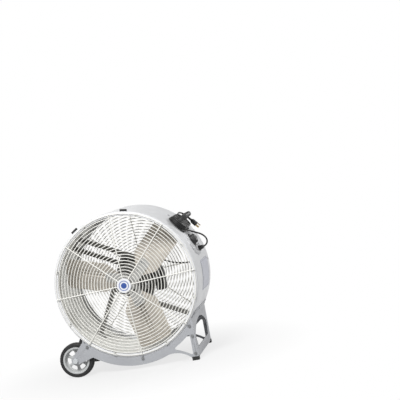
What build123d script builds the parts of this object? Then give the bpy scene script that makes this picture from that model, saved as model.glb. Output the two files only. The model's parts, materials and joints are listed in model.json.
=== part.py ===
from build123d import *
import os
from math import acos, asin, cos, degrees, pi, radians, sin, sqrt, tan

os.makedirs("parts", exist_ok=True)

# A portable drum fan on two wheels and two feet. +Z is up, the front guard faces -Y and the wheels
# are at -X. The origin lies on the floor, under the middle of the fan's outline.

# ---------------------------------------------------------------- driving sizes, mm and degrees

# drum
DRUM_RADIUS = 355.0
DRUM_DEPTH = 420.0
DRUM_WALL = 2.0
RIM_WIDTH = 20.0
RIM_BEND = 7.0
RIM_LIP = 6.0
RIM_FOLD = 1.0
RIVET_HEAD = 5.0
RIVET_SHANK = 2.5
RIVET_DOME = 2.5
RIVET_TAIL = 4.0
TAIL_DOME = 2.0
SIDE_RIVET_ANGLE = 3.0
SIDE_RIVET_SHIFT = 180.0
BORE_REACH = 20.0
DRUM_CLEARANCE = 60.5

# wire guards
RING_WIRE = 4.0
SPOKE_WIRE = 5.0
RING_PITCH = 15.0
FIRST_RING = 30.0
SPOKE_COUNT = 8
SPOKE_PHASE = 3.0
GUARD_RISE = 22.0
DISC_RADIUS = 35.0
DISC_THICKNESS = 2.5
DISC_ROUND = 1.0
CLIP_LENGTH = 16.0
CLIP_INNER = 9.5
CLIP_SHEET = 1.5
CLIP_SCREW = 4.0

# cradle: two cut plates, an end panel, feet
PLATE_THICKNESS = 4.0
PLATE_SETBACK = 3.0
RAIL_WIDTH = 42.0
BRANCH_WIDTH = 31.0
POST_INSET = 67.0
POST_WIDTH = 24.0
ARCH_START = -69.0
ARCH_RISE = 16.0
FOOT_WIDTH = 30.0
WINDOW_START = -64.0
WINDOW_BASE = 25.0
WINDOW_RISE = 5.0
WINDOW_CORNER = 7.0
BRACKET_START = -137.7
BRACKET_END = -125.0
LOBE_RADIUS = 20.0
PANEL_THICKNESS = 3.0
PANEL_TAB_END = -31.5
PANEL_TAB_DEPTH = 370.0
TAB_RIVET_TURN = 0.5
PANEL_WINDOW_BASE = 55.0
PANEL_WINDOW_SHOULDER = 118.0
PANEL_WINDOW_HEAD = 25.345
PANEL_SIDE = 25.0
PANEL_TAPER = 28.0
PANEL_WINDOW_CORNER = 15.0
TAB_EDGE = 30.0
PAD_HEIGHT = 18.0
PAD_SOLE = 12.0
PAD_WALL = 2.0
PAD_DEPTH = 22.0
FRAME_BOLT = 8.0
BOLT_ANGLES = (-132.5, -87.5, -42.5)
BOLT_REACH = 11.0
BRACKET_WIDTH = 26.0
BRACKET_LEG = 32.0
BRACKET_SHEET = 3.0
BRACKET_EDGE = 13.0
RAIL_OVERLAP = 4.0
PANEL_BOLT_HEIGHTS = (34.0, 119.0)

# wheels
WHEEL_RADIUS = 85.5
WHEEL_GAP = 17.784
TYRE_THICKNESS = 19.0
TYRE_WIDTH = 44.0
TYRE_ROUND = 9.0
WHEEL_HUB_RADIUS = 20.0
WHEEL_HUB_LENGTH = 50.0
WHEEL_WEB = 7.0
RIM_WINDOWS = 6
RIM_WINDOW_TURN = 40.0
RIM_WINDOW_CORNER = 6.0
RIM_HUB_EDGE = 10.0
RIM_BARREL_EDGE = 4.5
RIM_BARREL = 8.0
AXLE_RADIUS = 8.0
AXLE_CHAMFER = 1.5
AXLE_WASHER = 3.3
COLLAR_LENGTH = 12.0
COLLAR_RADIUS = 15.0
CAP_HEIGHT = 9.0
CAP_RADIUS = 13.0
CAP_ROOF = 2.5
CAP_TAPER = 8.0

# blades and shaft
TIP_GAP = 22.0
BLADE_CHORD = 175.0
BLADE_PITCH = 28.0
BLADE_THICKNESS = 2.5
BLADE_CAMBER = 12.0
BLADE_ROOT = 64.0
BLADE_SHOULDER = 125.0
BLADE_ROOT_WIDTH = 64.0
BLADE_PHASE = 43.6
BLADE_PLANE = -90.0
BLADE_COUNT = 3
HUB_RADIUS = 28.0
HUB_LENGTH = 52.0
HUB_SHIFT = 2.0
HUB_ROUND = 3.0
ARM_WIDTH = 58.0
ARM_THICKNESS = 4.0
ARM_REACH = 128.0
ARM_MARGIN = 11.0
BLADE_CORNER = 25.0
BLADE_RIVET = 4.5
SHAFT_RADIUS = 9.5
SHAFT_PROUD = 2.0
SET_SCREW = 6.0
SET_SCREW_ANGLES = (100.0, 190.0)

# motor and its mount
MOTOR_RADIUS = 82.5
MOTOR_FRONT = -38.0
MOTOR_REAR = 122.0
MOTOR_WALL = 3.0
BELL_LENGTH = 18.0
BELL_WALL = 5.0
BELL_ROUND = 3.0
BELL_PLAY = 0.5
MOTOR_BOLT = 5.0
STATOR_BORE = 45.0
STATOR_LENGTH = 75.0
BEARING_RADIUS = 20.0
BEARING_WIDTH = 12.0
BOSS_WALL = 6.0
AIR_GAP = 0.7
STRUT_COUNT = 4
STRUT_SIZE = 18.0
STRUT_DEPTH = 30.0
STRUT_WALL = 2.0
STRUT_OFFSET = 95.0
BRACE_OFFSET = 42.0
STRUT_PLANE = 50.0
STRUT_ANGLE = -27.0
STRUT_FOOT = 64.0
BRACE_FOOT = 40.0
FOOT_EDGE = 5.5
FOOT_SHEET = 3.0
MOUNT_PLATE = 5.0
STRUT_BOLT = 6.0
STRUT_BOLT_PLACES = (-60.0, 30.0)
LUG_WIDTH = 24.0
LUG_REACH = 106.0
LUG_THICKNESS = 4.0
BOX_WIDTH = 48.0
BOX_HEIGHT = 116.0
BOX_DEPTH = 48.0
BOX_TOP = 28.0
BOX_WALL = 2.5
BOX_GAP = 1.5
BOX_STAND = 8.0
BOX_CORNER = 5.0
BOX_FEET = ((105.0, 8.0), (93.0, -36.0))
BOX_FOOT = 5.0
CAN_GAP = 2.0
CAN_ROUND = 1.0

# controls and nameplate on the drum's side, each so far along the wall below the handle
CONTROL_ARC = 108.43
CONTROL_LENGTH = 150.0
CONTROL_DEPTH = 220.0
CONTROL_SHEET = 2.0
CONTROL_SHIFT = -4.0
CONTROL_RIVET_ALONG = 30.0
CONTROL_RIVET_ACROSS = 88.0
SWITCH_ARC = 102.233
SWITCH_SHIFT = -14.0
KNOB_RADIUS = 27.0
KNOB_HEIGHT = 22.0
KNOB_SKIRT = 8.0
KNOB_BAR = 13.0
KNOB_TAPER = 5.0
BEZEL_RADIUS = 34.0
BEZEL_HEIGHT = 3.0
BEZEL_ROUND = 1.2
SWITCH_STEM = 4.0
STEM_ROOM = 2.0
SWITCH_BODY = 40.0
SWITCH_HEIGHT = 20.0
STEM_DEPTH = 10.0
GLAND_ARC = 156.137
GLAND_SHIFT = 34.0
GLAND_RADIUS = 12.5
GLAND_THREAD = 6.0
GLAND_NUT = 7.0
GLAND_NECK = 10.6
GLAND_HEIGHT = 24.0
GLAND_TAPER = 9.0
CASE_LENGTH = 114.0
CASE_WIDTH = 116.0
CASE_DEPTH = 24.0
CASE_SHIFT = 18.0
CABLE_INSET = 12.0
CABLE_RUN = 13.0
NAMEPLATE_ARC = 285.012
NAMEPLATE_LENGTH = 150.0
NAMEPLATE_DEPTH = 200.0
NAMEPLATE_SHIFT = 50.0
NAMEPLATE_SHEET = 1.0
NAMEPLATE_CORNER = 10.0
RIM_PAD_ANGLES = (81.0, 124.0)
RIM_PAD_LENGTH = 34.0
RIM_PAD_WIDTH = 10.0
RIM_PAD_HEIGHT = 10.0

# handle with its cord wrap, so far along the wall below the foot of the strut beside it
HANDLE_ARC = 45.691
WRAP_SPACING = 100.0
WRAP_CORE = 28.0
WRAP_LAYERS = 2
WRAP_LEVELS = 3
WRAP_FLANGE = 8.0
WRAP_BASE = 7.0
GRIP_RADIUS = 13.0
GRIP_HEIGHT = 62.0
POST_SPACING = 116.0
POST_SIZE = 24.0
POST_CORNER = 4.0
BOLT_GRIP = 20.0
CORD_DIAMETER = 8.0
MOTOR_LEAD = 7.0
ARC_SHARE = 0.45
BOOT_LENGTH = 22.0
BOOT_RADIUS = 5.0
BOOT_TAPER = 5.0
PLUG_LENGTH = 34.0
PLUG_WIDTH = 26.0
PLUG_HEIGHT = 22.0
PLUG_CORNER = 6.0
PLUG_EDGE = 2.0
PIN_SPACING = 12.7
PIN_DROP = 4.0
PIN_SHEET = 1.5
PIN_WIDTH = 6.3
PIN_LENGTH = 18.0
EARTH_PIN = 2.4

# a bolt's flats and head as shares of its size, and its thread past the nut
FLATS_SHARE = 1.625
HEAD_SHARE = 0.65
THREAD_PROUD = 2.0

# clearances
SEAT = 0.3
SLIP = 0.05
HOLE_PLAY = 0.3

# ---------------------------------------------------------------- places worked out from them

HALF_DEPTH = DRUM_DEPTH / 2
PLATE_FRONT = HALF_DEPTH - PLATE_SETBACK
PLATE_BACK = PLATE_FRONT - PLATE_THICKNESS
AXIS_HEIGHT = DRUM_RADIUS + DRUM_CLEARANCE
AXLE_DROP = AXIS_HEIGHT - WHEEL_RADIUS
WHEEL_OFFSET = sqrt((DRUM_RADIUS + WHEEL_GAP + WHEEL_RADIUS) ** 2 - AXLE_DROP**2)
POST_OUTER = DRUM_RADIUS - POST_INSET
RIM_RADIUS = WHEEL_RADIUS - TYRE_THICKNESS
BLADE_TIP = DRUM_RADIUS - DRUM_WALL - TIP_GAP
FOOT_FACE = DRUM_RADIUS - DRUM_WALL - SEAT


def turn_of(length, radius=DRUM_RADIUS):
    """The angle that a length takes up along a circle."""
    return degrees(length / radius)


def foot_angle(direction, offset):
    """Where a strut that passes the axis at an offset meets the drum."""
    return direction - degrees(asin(offset / FOOT_FACE))


strut_directions = [STRUT_ANGLE + 360 / STRUT_COUNT * i for i in range(STRUT_COUNT)]
HANDLE_ANGLE = foot_angle(strut_directions[1], STRUT_OFFSET) - turn_of(HANDLE_ARC)
CONTROL_ANGLE = HANDLE_ANGLE - turn_of(CONTROL_ARC)
SWITCH_TURN = HANDLE_ANGLE - turn_of(SWITCH_ARC)
GLAND_TURN = HANDLE_ANGLE - turn_of(GLAND_ARC)
NAMEPLATE_ANGLE = HANDLE_ANGLE - turn_of(NAMEPLATE_ARC)
LEFT_REACH = WHEEL_OFFSET + WHEEL_RADIUS
PLATE_SKIN = DRUM_RADIUS + SEAT + CONTROL_SHEET
GLAND_TOP = PLATE_SKIN + SEAT + GLAND_HEIGHT
GLAND_MOUTH = GLAND_NECK - (GLAND_HEIGHT - GLAND_NUT) * tan(radians(GLAND_TAPER))
RIGHT_REACH = max(
    DRUM_RADIUS,
    GLAND_TOP * cos(radians(GLAND_TURN)) + GLAND_MOUTH * sin(radians(GLAND_TURN)),
)
DRUM_X = (LEFT_REACH - RIGHT_REACH) / 2
AXLE_X = DRUM_X - WHEEL_OFFSET
FAN_AXIS = Axis((DRUM_X, 0, AXIS_HEIGHT), (0, 1, 0))
AXLE_AXIS = Axis((AXLE_X, 0, WHEEL_RADIUS), (0, 1, 0))


def facing(y, x=DRUM_X, z=AXIS_HEIGHT):
    """A plane across the fan at depth y that faces the front, with local X right and Y up."""
    return Plane(origin=(x, y, z), x_dir=(1, 0, 0), z_dir=(0, -1, 0))


def on_drum(angle, y=0.0, height=0.0):
    """A plane touching the drum: local X runs down its side, Y to the rear and Z out of it."""
    turn = radians(angle)
    reach = DRUM_RADIUS + height
    spot = (DRUM_X + reach * cos(turn), y, AXIS_HEIGHT + reach * sin(turn))
    return Plane(origin=spot, x_dir=(sin(turn), 0, -cos(turn)), z_dir=(cos(turn), 0, sin(turn)))


def shifted(plane, x, y, z=0.0):
    """The same plane, moved along its own directions."""
    spot = plane.from_local_coords((x, y, z))
    return Plane(origin=spot, x_dir=plane.x_dir, z_dir=plane.z_dir)


def polar(radius, angle):
    """A point about the drum's axis, for sketches that face the front."""
    return (radius * cos(radians(angle)), radius * sin(radians(angle)))


def circle_height(radius, across):
    """How far below the axis a circle about it lies at a sideways distance."""
    return -sqrt(radius**2 - across**2)


def across(angle):
    """A plane holding the drum's axis at this angle: local X runs outwards and Y to the rear."""
    turn = radians(angle)
    return Plane(
        origin=(DRUM_X, 0, AXIS_HEIGHT),
        x_dir=(cos(turn), 0, sin(turn)),
        z_dir=(-sin(turn), 0, cos(turn)),
    )


def sector(inner, outer, start, end):
    """Draws a piece of a ring about the sketch's origin, in the sketch being made."""
    middle = (start + end) / 2
    with BuildLine() as outline:
        ThreePointArc(polar(inner, start), polar(inner, middle), polar(inner, end))
        Line(polar(inner, end), polar(outer, end))
        ThreePointArc(polar(outer, end), polar(outer, middle), polar(outer, start))
        Line(polar(outer, start), polar(inner, start))
    make_face(outline.edges())


def disc_on(plane, radius, length, mode=Mode.ADD):
    """A cylinder that stands on a plane, or goes down into it where the length is negative."""
    with BuildSketch(plane) as outline:
        Circle(radius)
    extrude(outline.sketch, amount=length, mode=mode)


def hexagon_on(plane, across_flats, length):
    """A bolt's hexagon standing on a plane."""
    with BuildSketch(plane) as outline:
        RegularPolygon(across_flats / 2, 6, major_radius=False)
    extrude(outline.sketch, amount=length)


def side_bore(angle, y, radius):
    """A hole through everything near the drum's wall, along the radius."""
    disc_on(on_drum(angle, y, BORE_REACH), radius, -2 * BORE_REACH, Mode.SUBTRACT)


# ---------------------------------------------------------------- where fasteners go

bracket_angles = BOLT_ANGLES[:-1]
sheet_face = PLATE_BACK - SLIP
bracket_rivet = sheet_face - BRACKET_LEG + BRACKET_EDGE
plate_bore = DRUM_RADIUS + SEAT
bolt_circle = plate_bore + BOLT_REACH
post_middle = POST_OUTER - POST_WIDTH / 2
frame_bolt_spots = [polar(bolt_circle, angle) for angle in BOLT_ANGLES]
frame_bolt_spots += [(post_middle, height - AXIS_HEIGHT) for height in PANEL_BOLT_HEIGHTS]

drum_bore = DRUM_RADIUS - DRUM_WALL
rim_bore = DRUM_RADIUS - RIM_WIDTH
tab_inner = plate_bore
tab_outer = tab_inner + PANEL_THICKNESS
tab_start = -degrees(acos((POST_OUTER - PANEL_THICKNESS) / tab_outer))
tab_middle = (tab_start + PANEL_TAB_END) / 2 + TAB_RIVET_TURN


brace_direction = strut_directions[2]
foot_places = [(foot_angle(d, STRUT_OFFSET), STRUT_FOOT) for d in strut_directions]
foot_places.append((foot_angle(brace_direction, BRACE_OFFSET), BRACE_FOOT))

# every rivet through the drum's wall: angle, depth, sheet outside it, sheet inside it
drum_rivet_places = []
for angle in bracket_angles:
    for side in (-1, 1):
        drum_rivet_places.append((angle, side * bracket_rivet, SEAT + BRACKET_SHEET, 0))
for angle, width in foot_places:
    for side in (-1, 1):
        turn = side * turn_of(width / 2 - FOOT_EDGE)
        drum_rivet_places.append((angle + turn, STRUT_PLANE, 0, SEAT + FOOT_SHEET))
for side in (-1, 0, 1):
    rivet_y = side * (PANEL_TAB_DEPTH / 2 - TAB_EDGE)
    drum_rivet_places.append((tab_middle, rivet_y, SEAT + PANEL_THICKNESS, 0))
control_rivets = []
for side in (-1, 1):
    for end in (-1, 1):
        angle = CONTROL_ANGLE + side * turn_of(CONTROL_RIVET_ALONG)
        control_rivets.append((angle, CONTROL_SHIFT + end * CONTROL_RIVET_ACROSS))
for angle, y in control_rivets:
    drum_rivet_places.append((angle, y, SEAT + CONTROL_SHEET, 0))
drum_rivet_places.append((SIDE_RIVET_ANGLE, SIDE_RIVET_SHIFT, 0, 0))

outer_ring = DRUM_RADIUS - RIM_WIDTH / 2
spoke_angles = [SPOKE_PHASE + 360 / SPOKE_COUNT * i for i in range(SPOKE_COUNT)]
clip_phase = SPOKE_PHASE + 180 / SPOKE_COUNT
clip_gap = RING_WIRE / 2 + SEAT
clip_screw_circle = outer_ring - (clip_gap + CLIP_SHEET + CLIP_INNER) / 2

handle_plane = on_drum(HANDLE_ANGLE)
handle_bolt_spots = [(0, -POST_SPACING / 2), (0, POST_SPACING / 2)]

# ---------------------------------------------------------------- drum

with BuildPart() as drum_housing:
    with BuildSketch(Plane.XY.offset(AXIS_HEIGHT)) as drum_profile:
        with BuildLine() as drum_outline:
            FilletPolyline(
                (DRUM_X + rim_bore, -HALF_DEPTH + RIM_LIP),
                (DRUM_X + rim_bore, -HALF_DEPTH),
                (DRUM_X + DRUM_RADIUS, -HALF_DEPTH),
                (DRUM_X + DRUM_RADIUS, HALF_DEPTH),
                (DRUM_X + rim_bore, HALF_DEPTH),
                (DRUM_X + rim_bore, HALF_DEPTH - RIM_LIP),
                radius=[DRUM_WALL + RIM_FOLD, RIM_BEND, RIM_BEND, DRUM_WALL + RIM_FOLD],
            )
            FilletPolyline(
                (DRUM_X + rim_bore + DRUM_WALL, -HALF_DEPTH + RIM_LIP),
                (DRUM_X + rim_bore + DRUM_WALL, -HALF_DEPTH + DRUM_WALL),
                (DRUM_X + drum_bore, -HALF_DEPTH + DRUM_WALL),
                (DRUM_X + drum_bore, HALF_DEPTH - DRUM_WALL),
                (DRUM_X + rim_bore + DRUM_WALL, HALF_DEPTH - DRUM_WALL),
                (DRUM_X + rim_bore + DRUM_WALL, HALF_DEPTH - RIM_LIP),
                radius=[RIM_FOLD, RIM_BEND - DRUM_WALL, RIM_BEND - DRUM_WALL, RIM_FOLD],
            )
            for end in (-1, 1):
                Line(
                    (DRUM_X + rim_bore, end * (HALF_DEPTH - RIM_LIP)),
                    (DRUM_X + rim_bore + DRUM_WALL, end * (HALF_DEPTH - RIM_LIP)),
                )
        make_face()
    revolve(axis=FAN_AXIS)
    # holes for the rivets, the switch's stem, the cord's gland, the handle and the guards
    for angle, y, outside, inside in drum_rivet_places:
        side_bore(angle, y, RIVET_SHANK + HOLE_PLAY)
    side_bore(SWITCH_TURN, SWITCH_SHIFT, SWITCH_STEM + STEM_ROOM)
    side_bore(GLAND_TURN, GLAND_SHIFT, GLAND_THREAD + HOLE_PLAY)
    with BuildSketch(on_drum(HANDLE_ANGLE, 0, BORE_REACH)) as handle_holes:
        with Locations(*handle_bolt_spots):
            Circle(FRAME_BOLT / 2 + HOLE_PLAY)
    extrude(amount=-2 * BORE_REACH, mode=Mode.SUBTRACT)
    with BuildSketch(facing(0)) as clip_screw_holes:
        with PolarLocations(clip_screw_circle, SPOKE_COUNT, start_angle=clip_phase):
            Circle(CLIP_SCREW / 2 + HOLE_PLAY)
    extrude(amount=HALF_DEPTH + CLIP_SHEET, both=True, mode=Mode.SUBTRACT)
drum_housing.part.label = "drum_housing"
export_step(drum_housing.part, "parts/drum_housing.step")

with BuildPart() as drum_rivets:
    for angle, y, outside, inside in drum_rivet_places:
        head_seat = outside + SLIP
        tail_seat = -DRUM_WALL - inside - SLIP
        disc_on(on_drum(angle, y, head_seat), RIVET_HEAD, RIVET_DOME)
        disc_on(on_drum(angle, y, head_seat), RIVET_SHANK, tail_seat - head_seat)
        disc_on(on_drum(angle, y, tail_seat), RIVET_TAIL, -TAIL_DOME)
drum_rivets.part.label = "drum_rivets"
export_step(drum_rivets.part, "parts/drum_rivets.step")

# ---------------------------------------------------------------- wire guards

ring_count = int((outer_ring - FIRST_RING) / RING_PITCH) + 1
guard_seat = HALF_DEPTH + SLIP + RING_WIRE / 2
ring_radii = [outer_ring - i * RING_PITCH for i in range(ring_count)]
spoke_start = ring_radii[-1] - SPOKE_WIRE
spoke_end = outer_ring + RING_WIRE
spoke_lift = (RING_WIRE + SPOKE_WIRE) / 2 + SLIP


def cone_depth(radius):
    """How far before the drum's middle the guard's ring of this radius lies."""
    return guard_seat + GUARD_RISE * (1 - radius / outer_ring)


def guard(side):
    """A domed guard: rings with spokes laid over them; side is -1 at the front, 1 at the rear."""
    with BuildPart() as wires:
        with BuildSketch(Plane.XY.offset(AXIS_HEIGHT)) as ring_sections:
            with Locations(*[(DRUM_X + r, side * cone_depth(r)) for r in ring_radii]):
                Circle(RING_WIRE / 2)
        revolve(axis=FAN_AXIS)
        spokes = []
        for angle in spoke_angles:
            ends = []
            for radius in (spoke_start, spoke_end):
                sideways, up = polar(radius, angle)
                depth = side * (cone_depth(radius) + spoke_lift)
                ends.append(Vector(DRUM_X + sideways, depth, AXIS_HEIGHT + up))
            spokes.append(Plane(origin=(ends[0] + ends[1]) / 2, z_dir=ends[1] - ends[0]))
        with Locations(*spokes):
            Cylinder(SPOKE_WIRE / 2, (ends[1] - ends[0]).length)
    return wires


disc_seat = cone_depth(spoke_start) + spoke_lift + SPOKE_WIRE / 2 + SLIP
clip_roof = RING_WIRE + SEAT + CLIP_SHEET

for side, end in ((-1, "front"), (1, "rear")):
    grille = guard(side)
    grille.part.label = end + "_grille"
    export_step(grille.part, "parts/" + end + "_grille.step")

    with BuildPart() as center_disc:
        with BuildSketch(facing(side * disc_seat)) as disc_outline:
            Circle(DISC_RADIUS)
        extrude(amount=-side * DISC_THICKNESS)
        outer_edge = center_disc.edges().group_by(Axis.Y)[-1 if side > 0 else 0]
        fillet(outer_edge, DISC_ROUND)
    center_disc.part.label = end + "_center_disc"
    export_step(center_disc.part, "parts/" + end + "_center_disc.step")

# clips that hold each guard's outer ring to the rim, between the spokes
with BuildPart() as grille_clips:
    for side in (-1, 1):
        for i in range(SPOKE_COUNT):
            with BuildSketch(across(clip_phase + 360 / SPOKE_COUNT * i)) as clip_profile:
                with BuildLine() as clip_outline:
                    Polyline(
                        *[
                            (outer_ring + out, side * (HALF_DEPTH + SLIP + rise))
                            for out, rise in (
                                (-CLIP_INNER, 0),
                                (-clip_gap, 0),
                                (-clip_gap, RING_WIRE + SEAT),
                                (clip_gap, RING_WIRE + SEAT),
                                (clip_gap, CLIP_SHEET),
                                (clip_gap + CLIP_SHEET, CLIP_SHEET),
                                (clip_gap + CLIP_SHEET, clip_roof),
                                (-clip_gap - CLIP_SHEET, clip_roof),
                                (-clip_gap - CLIP_SHEET, CLIP_SHEET),
                                (-CLIP_INNER, CLIP_SHEET),
                            )
                        ],
                        close=True,
                    )
                make_face()
            extrude(amount=CLIP_LENGTH / 2, both=True)
    with BuildSketch(facing(0)) as clip_holes:
        with PolarLocations(clip_screw_circle, SPOKE_COUNT, start_angle=clip_phase):
            Circle(CLIP_SCREW / 2 + HOLE_PLAY)
    extrude(amount=HALF_DEPTH + clip_roof, both=True, mode=Mode.SUBTRACT)
grille_clips.part.label = "grille_clips"
export_step(grille_clips.part, "parts/grille_clips.step")

with BuildPart() as clip_screws:
    for side in (-1, 1):
        head_seat = HALF_DEPTH + CLIP_SHEET + 2 * SLIP
        with BuildSketch(facing(side * head_seat)) as screw_heads:
            with PolarLocations(clip_screw_circle, SPOKE_COUNT, start_angle=clip_phase):
                Circle(CLIP_SCREW * HEAD_SHARE)
        extrude(amount=-side * CLIP_SCREW / 2)
        with BuildSketch(facing(side * head_seat)) as screw_shanks:
            with PolarLocations(clip_screw_circle, SPOKE_COUNT, start_angle=clip_phase):
                Circle(CLIP_SCREW / 2)
        extrude(amount=side * (CLIP_SHEET + DRUM_WALL + CLIP_SCREW / 2))
clip_screws.part.label = "clip_screws"
export_step(clip_screws.part, "parts/clip_screws.step")

# ---------------------------------------------------------------- cradle

rail_outer = plate_bore + RAIL_WIDTH
branch_outer = plate_bore + BRANCH_WIDTH
axle_spot = (-WHEEL_OFFSET, -AXLE_DROP)
plate_foot = PAD_SOLE - AXIS_HEIGHT
post_inner = POST_OUTER - POST_WIDTH


def frame_plate(rear_face):
    """A cut plate under the drum: the wheels' lobe, a curved rail and a post with its window."""
    rail_start = (BRACKET_START + BRACKET_END) / 2 - RAIL_OVERLAP
    arch_end = polar(rail_outer, ARCH_START)
    with BuildPart() as plate:
        with BuildSketch(facing(rear_face)) as plate_outline:
            with Locations(axle_spot):
                Circle(LOBE_RADIUS)
            with BuildLine() as lobe_root:
                Line(polar(plate_bore, BRACKET_START), polar(rail_outer, BRACKET_END))
            make_hull()
            with BuildLine() as rail_outline:
                Line((0, 0), polar(rail_outer, rail_start))
                ThreePointArc(
                    polar(rail_outer, rail_start),
                    polar(rail_outer, (rail_start + ARCH_START) / 2),
                    arch_end,
                )
                Line(arch_end, (0, 0))
            make_face()
            with BuildLine() as post_outline:
                SagittaArc(arch_end, (POST_OUTER - FOOT_WIDTH, plate_foot), ARCH_RISE)
                Polyline(
                    arch_end,
                    (0, 0),
                    (POST_OUTER, circle_height(plate_bore, POST_OUTER)),
                    (POST_OUTER, plate_foot),
                    (POST_OUTER - FOOT_WIDTH, plate_foot),
                )
            make_face()
            Circle(plate_bore, mode=Mode.SUBTRACT)
        extrude(amount=PLATE_THICKNESS)
        with BuildSketch(facing(rear_face)) as window:
            window_tip = polar(branch_outer, WINDOW_START)
            window_top = (post_inner, circle_height(branch_outer, post_inner))
            window_turn = -degrees(acos(post_inner / branch_outer))
            window_low = (post_inner, WINDOW_BASE - AXIS_HEIGHT)
            with BuildLine() as window_outline:
                ThreePointArc(
                    window_tip, polar(branch_outer, (WINDOW_START + window_turn) / 2), window_top
                )
                Line(window_top, window_low)
                SagittaArc(window_tip, window_low, WINDOW_RISE)
            make_face()
            fillet(window.vertices(), WINDOW_CORNER)
        extrude(amount=PLATE_THICKNESS, mode=Mode.SUBTRACT)
        with BuildSketch(facing(rear_face)) as plate_holes:
            with Locations(*frame_bolt_spots):
                Circle(FRAME_BOLT / 2 + HOLE_PLAY)
            with Locations(axle_spot):
                Circle(AXLE_RADIUS + SLIP)
        extrude(amount=PLATE_THICKNESS, mode=Mode.SUBTRACT)
    return plate


for rear_face, end in ((-PLATE_BACK, "front"), (PLATE_FRONT, "rear")):
    plate = frame_plate(rear_face)
    plate.part.label = end + "_frame_plate"
    export_step(plate.part, "parts/" + end + "_frame_plate.step")

# the panel closing the cradle's end: a sheet with flanges, a tab along the drum and a window
panel_face = Plane(origin=(DRUM_X + POST_OUTER, 0, 0), x_dir=(0, 1, 0), z_dir=(1, 0, 0))
panel_top = AXIS_HEIGHT + circle_height(tab_outer, POST_OUTER)
window_half = sheet_face - PANEL_SIDE

with BuildPart() as end_panel:
    with BuildSketch(panel_face) as panel_sheet:
        with Locations((0, (PAD_SOLE + panel_top) / 2)):
            Rectangle(2 * sheet_face, panel_top - PAD_SOLE)
    extrude(amount=-PANEL_THICKNESS)
    with BuildSketch(facing(-sheet_face)) as flange_outline:
        with BuildLine() as flange_edges:
            Polyline(
                (post_inner, plate_foot),
                (POST_OUTER, plate_foot),
                (POST_OUTER, panel_top - AXIS_HEIGHT),
                (post_inner, circle_height(plate_bore, post_inner) + POST_WIDTH),
                close=True,
            )
        make_face()
        Circle(tab_inner, mode=Mode.SUBTRACT)
    extrude(amount=-PANEL_THICKNESS)
    extrude(
        flange_outline.sketch.moved(Location((0, 2 * sheet_face, 0))), amount=PANEL_THICKNESS
    )
    with BuildSketch(facing(PANEL_TAB_DEPTH / 2)) as tab_outline:
        sector(tab_inner, tab_outer, tab_start, PANEL_TAB_END)
    extrude(amount=PANEL_TAB_DEPTH)
    with BuildSketch(panel_face) as panel_window:
        with BuildLine() as panel_window_outline:
            Polyline(
                (-window_half, PANEL_WINDOW_SHOULDER),
                (-window_half + PANEL_TAPER, PANEL_WINDOW_BASE),
                (window_half - PANEL_TAPER, PANEL_WINDOW_BASE),
                (window_half, PANEL_WINDOW_SHOULDER),
            )
            ThreePointArc(
                (window_half, PANEL_WINDOW_SHOULDER),
                (0, panel_top - PANEL_WINDOW_HEAD),
                (-window_half, PANEL_WINDOW_SHOULDER),
            )
        make_face()
        fillet(panel_window.vertices(), PANEL_WINDOW_CORNER)
    extrude(amount=-PANEL_THICKNESS, mode=Mode.SUBTRACT)
    with BuildSketch(facing(0)) as flange_holes:
        with Locations(*frame_bolt_spots[-3:]):
            Circle(FRAME_BOLT / 2 + HOLE_PLAY)
    extrude(amount=PLATE_FRONT, both=True, mode=Mode.SUBTRACT)
    for angle, y, outside, inside in drum_rivet_places:
        if angle == tab_middle:
            side_bore(angle, y, RIVET_SHANK + HOLE_PLAY)
end_panel.part.label = "end_panel"
export_step(end_panel.part, "parts/end_panel.step")

# angles that tie the plates to the drum's wall
bracket_top = plate_bore + BOLT_REACH + BRACKET_EDGE

with BuildPart() as frame_brackets:
    for angle in bracket_angles:
        for side in (-1, 1):
            with BuildSketch(across(angle)) as bracket_profile:
                with BuildLine() as bracket_outline:
                    Polyline(
                        (plate_bore, side * sheet_face),
                        (bracket_top, side * sheet_face),
                        (bracket_top, side * (sheet_face - BRACKET_SHEET)),
                        (plate_bore + BRACKET_SHEET, side * (sheet_face - BRACKET_SHEET)),
                        (plate_bore + BRACKET_SHEET, side * (sheet_face - BRACKET_LEG)),
                        (plate_bore, side * (sheet_face - BRACKET_LEG)),
                        close=True,
                    )
                make_face()
            extrude(amount=BRACKET_WIDTH / 2, both=True)
            side_bore(angle, side * bracket_rivet, RIVET_SHANK + HOLE_PLAY)
    with BuildSketch(facing(0)) as bracket_holes:
        with Locations(*frame_bolt_spots[:2]):
            Circle(FRAME_BOLT / 2 + HOLE_PLAY)
    extrude(amount=PLATE_FRONT, both=True, mode=Mode.SUBTRACT)
frame_brackets.part.label = "frame_brackets"
export_step(frame_brackets.part, "parts/frame_brackets.step")

bolt_flats = FRAME_BOLT * FLATS_SHARE
bolt_head = FRAME_BOLT * HEAD_SHARE
nut_seat = sheet_face - BRACKET_SHEET - SLIP

with BuildPart() as frame_bolts:
    for side in (-1, 1):
        for sideways, up in frame_bolt_spots:
            spot = (DRUM_X + sideways, AXIS_HEIGHT + up)
            outside = facing(side * (PLATE_FRONT + SLIP), *spot)
            hexagon_on(outside, bolt_flats, -side * bolt_head)
            disc_on(outside, FRAME_BOLT / 2, side * (PLATE_FRONT - nut_seat + bolt_head + THREAD_PROUD))
            hexagon_on(facing(side * nut_seat, *spot), bolt_flats, side * bolt_head)
frame_bolts.part.label = "frame_bolts"
export_step(frame_bolts.part, "parts/frame_bolts.step")

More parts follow.
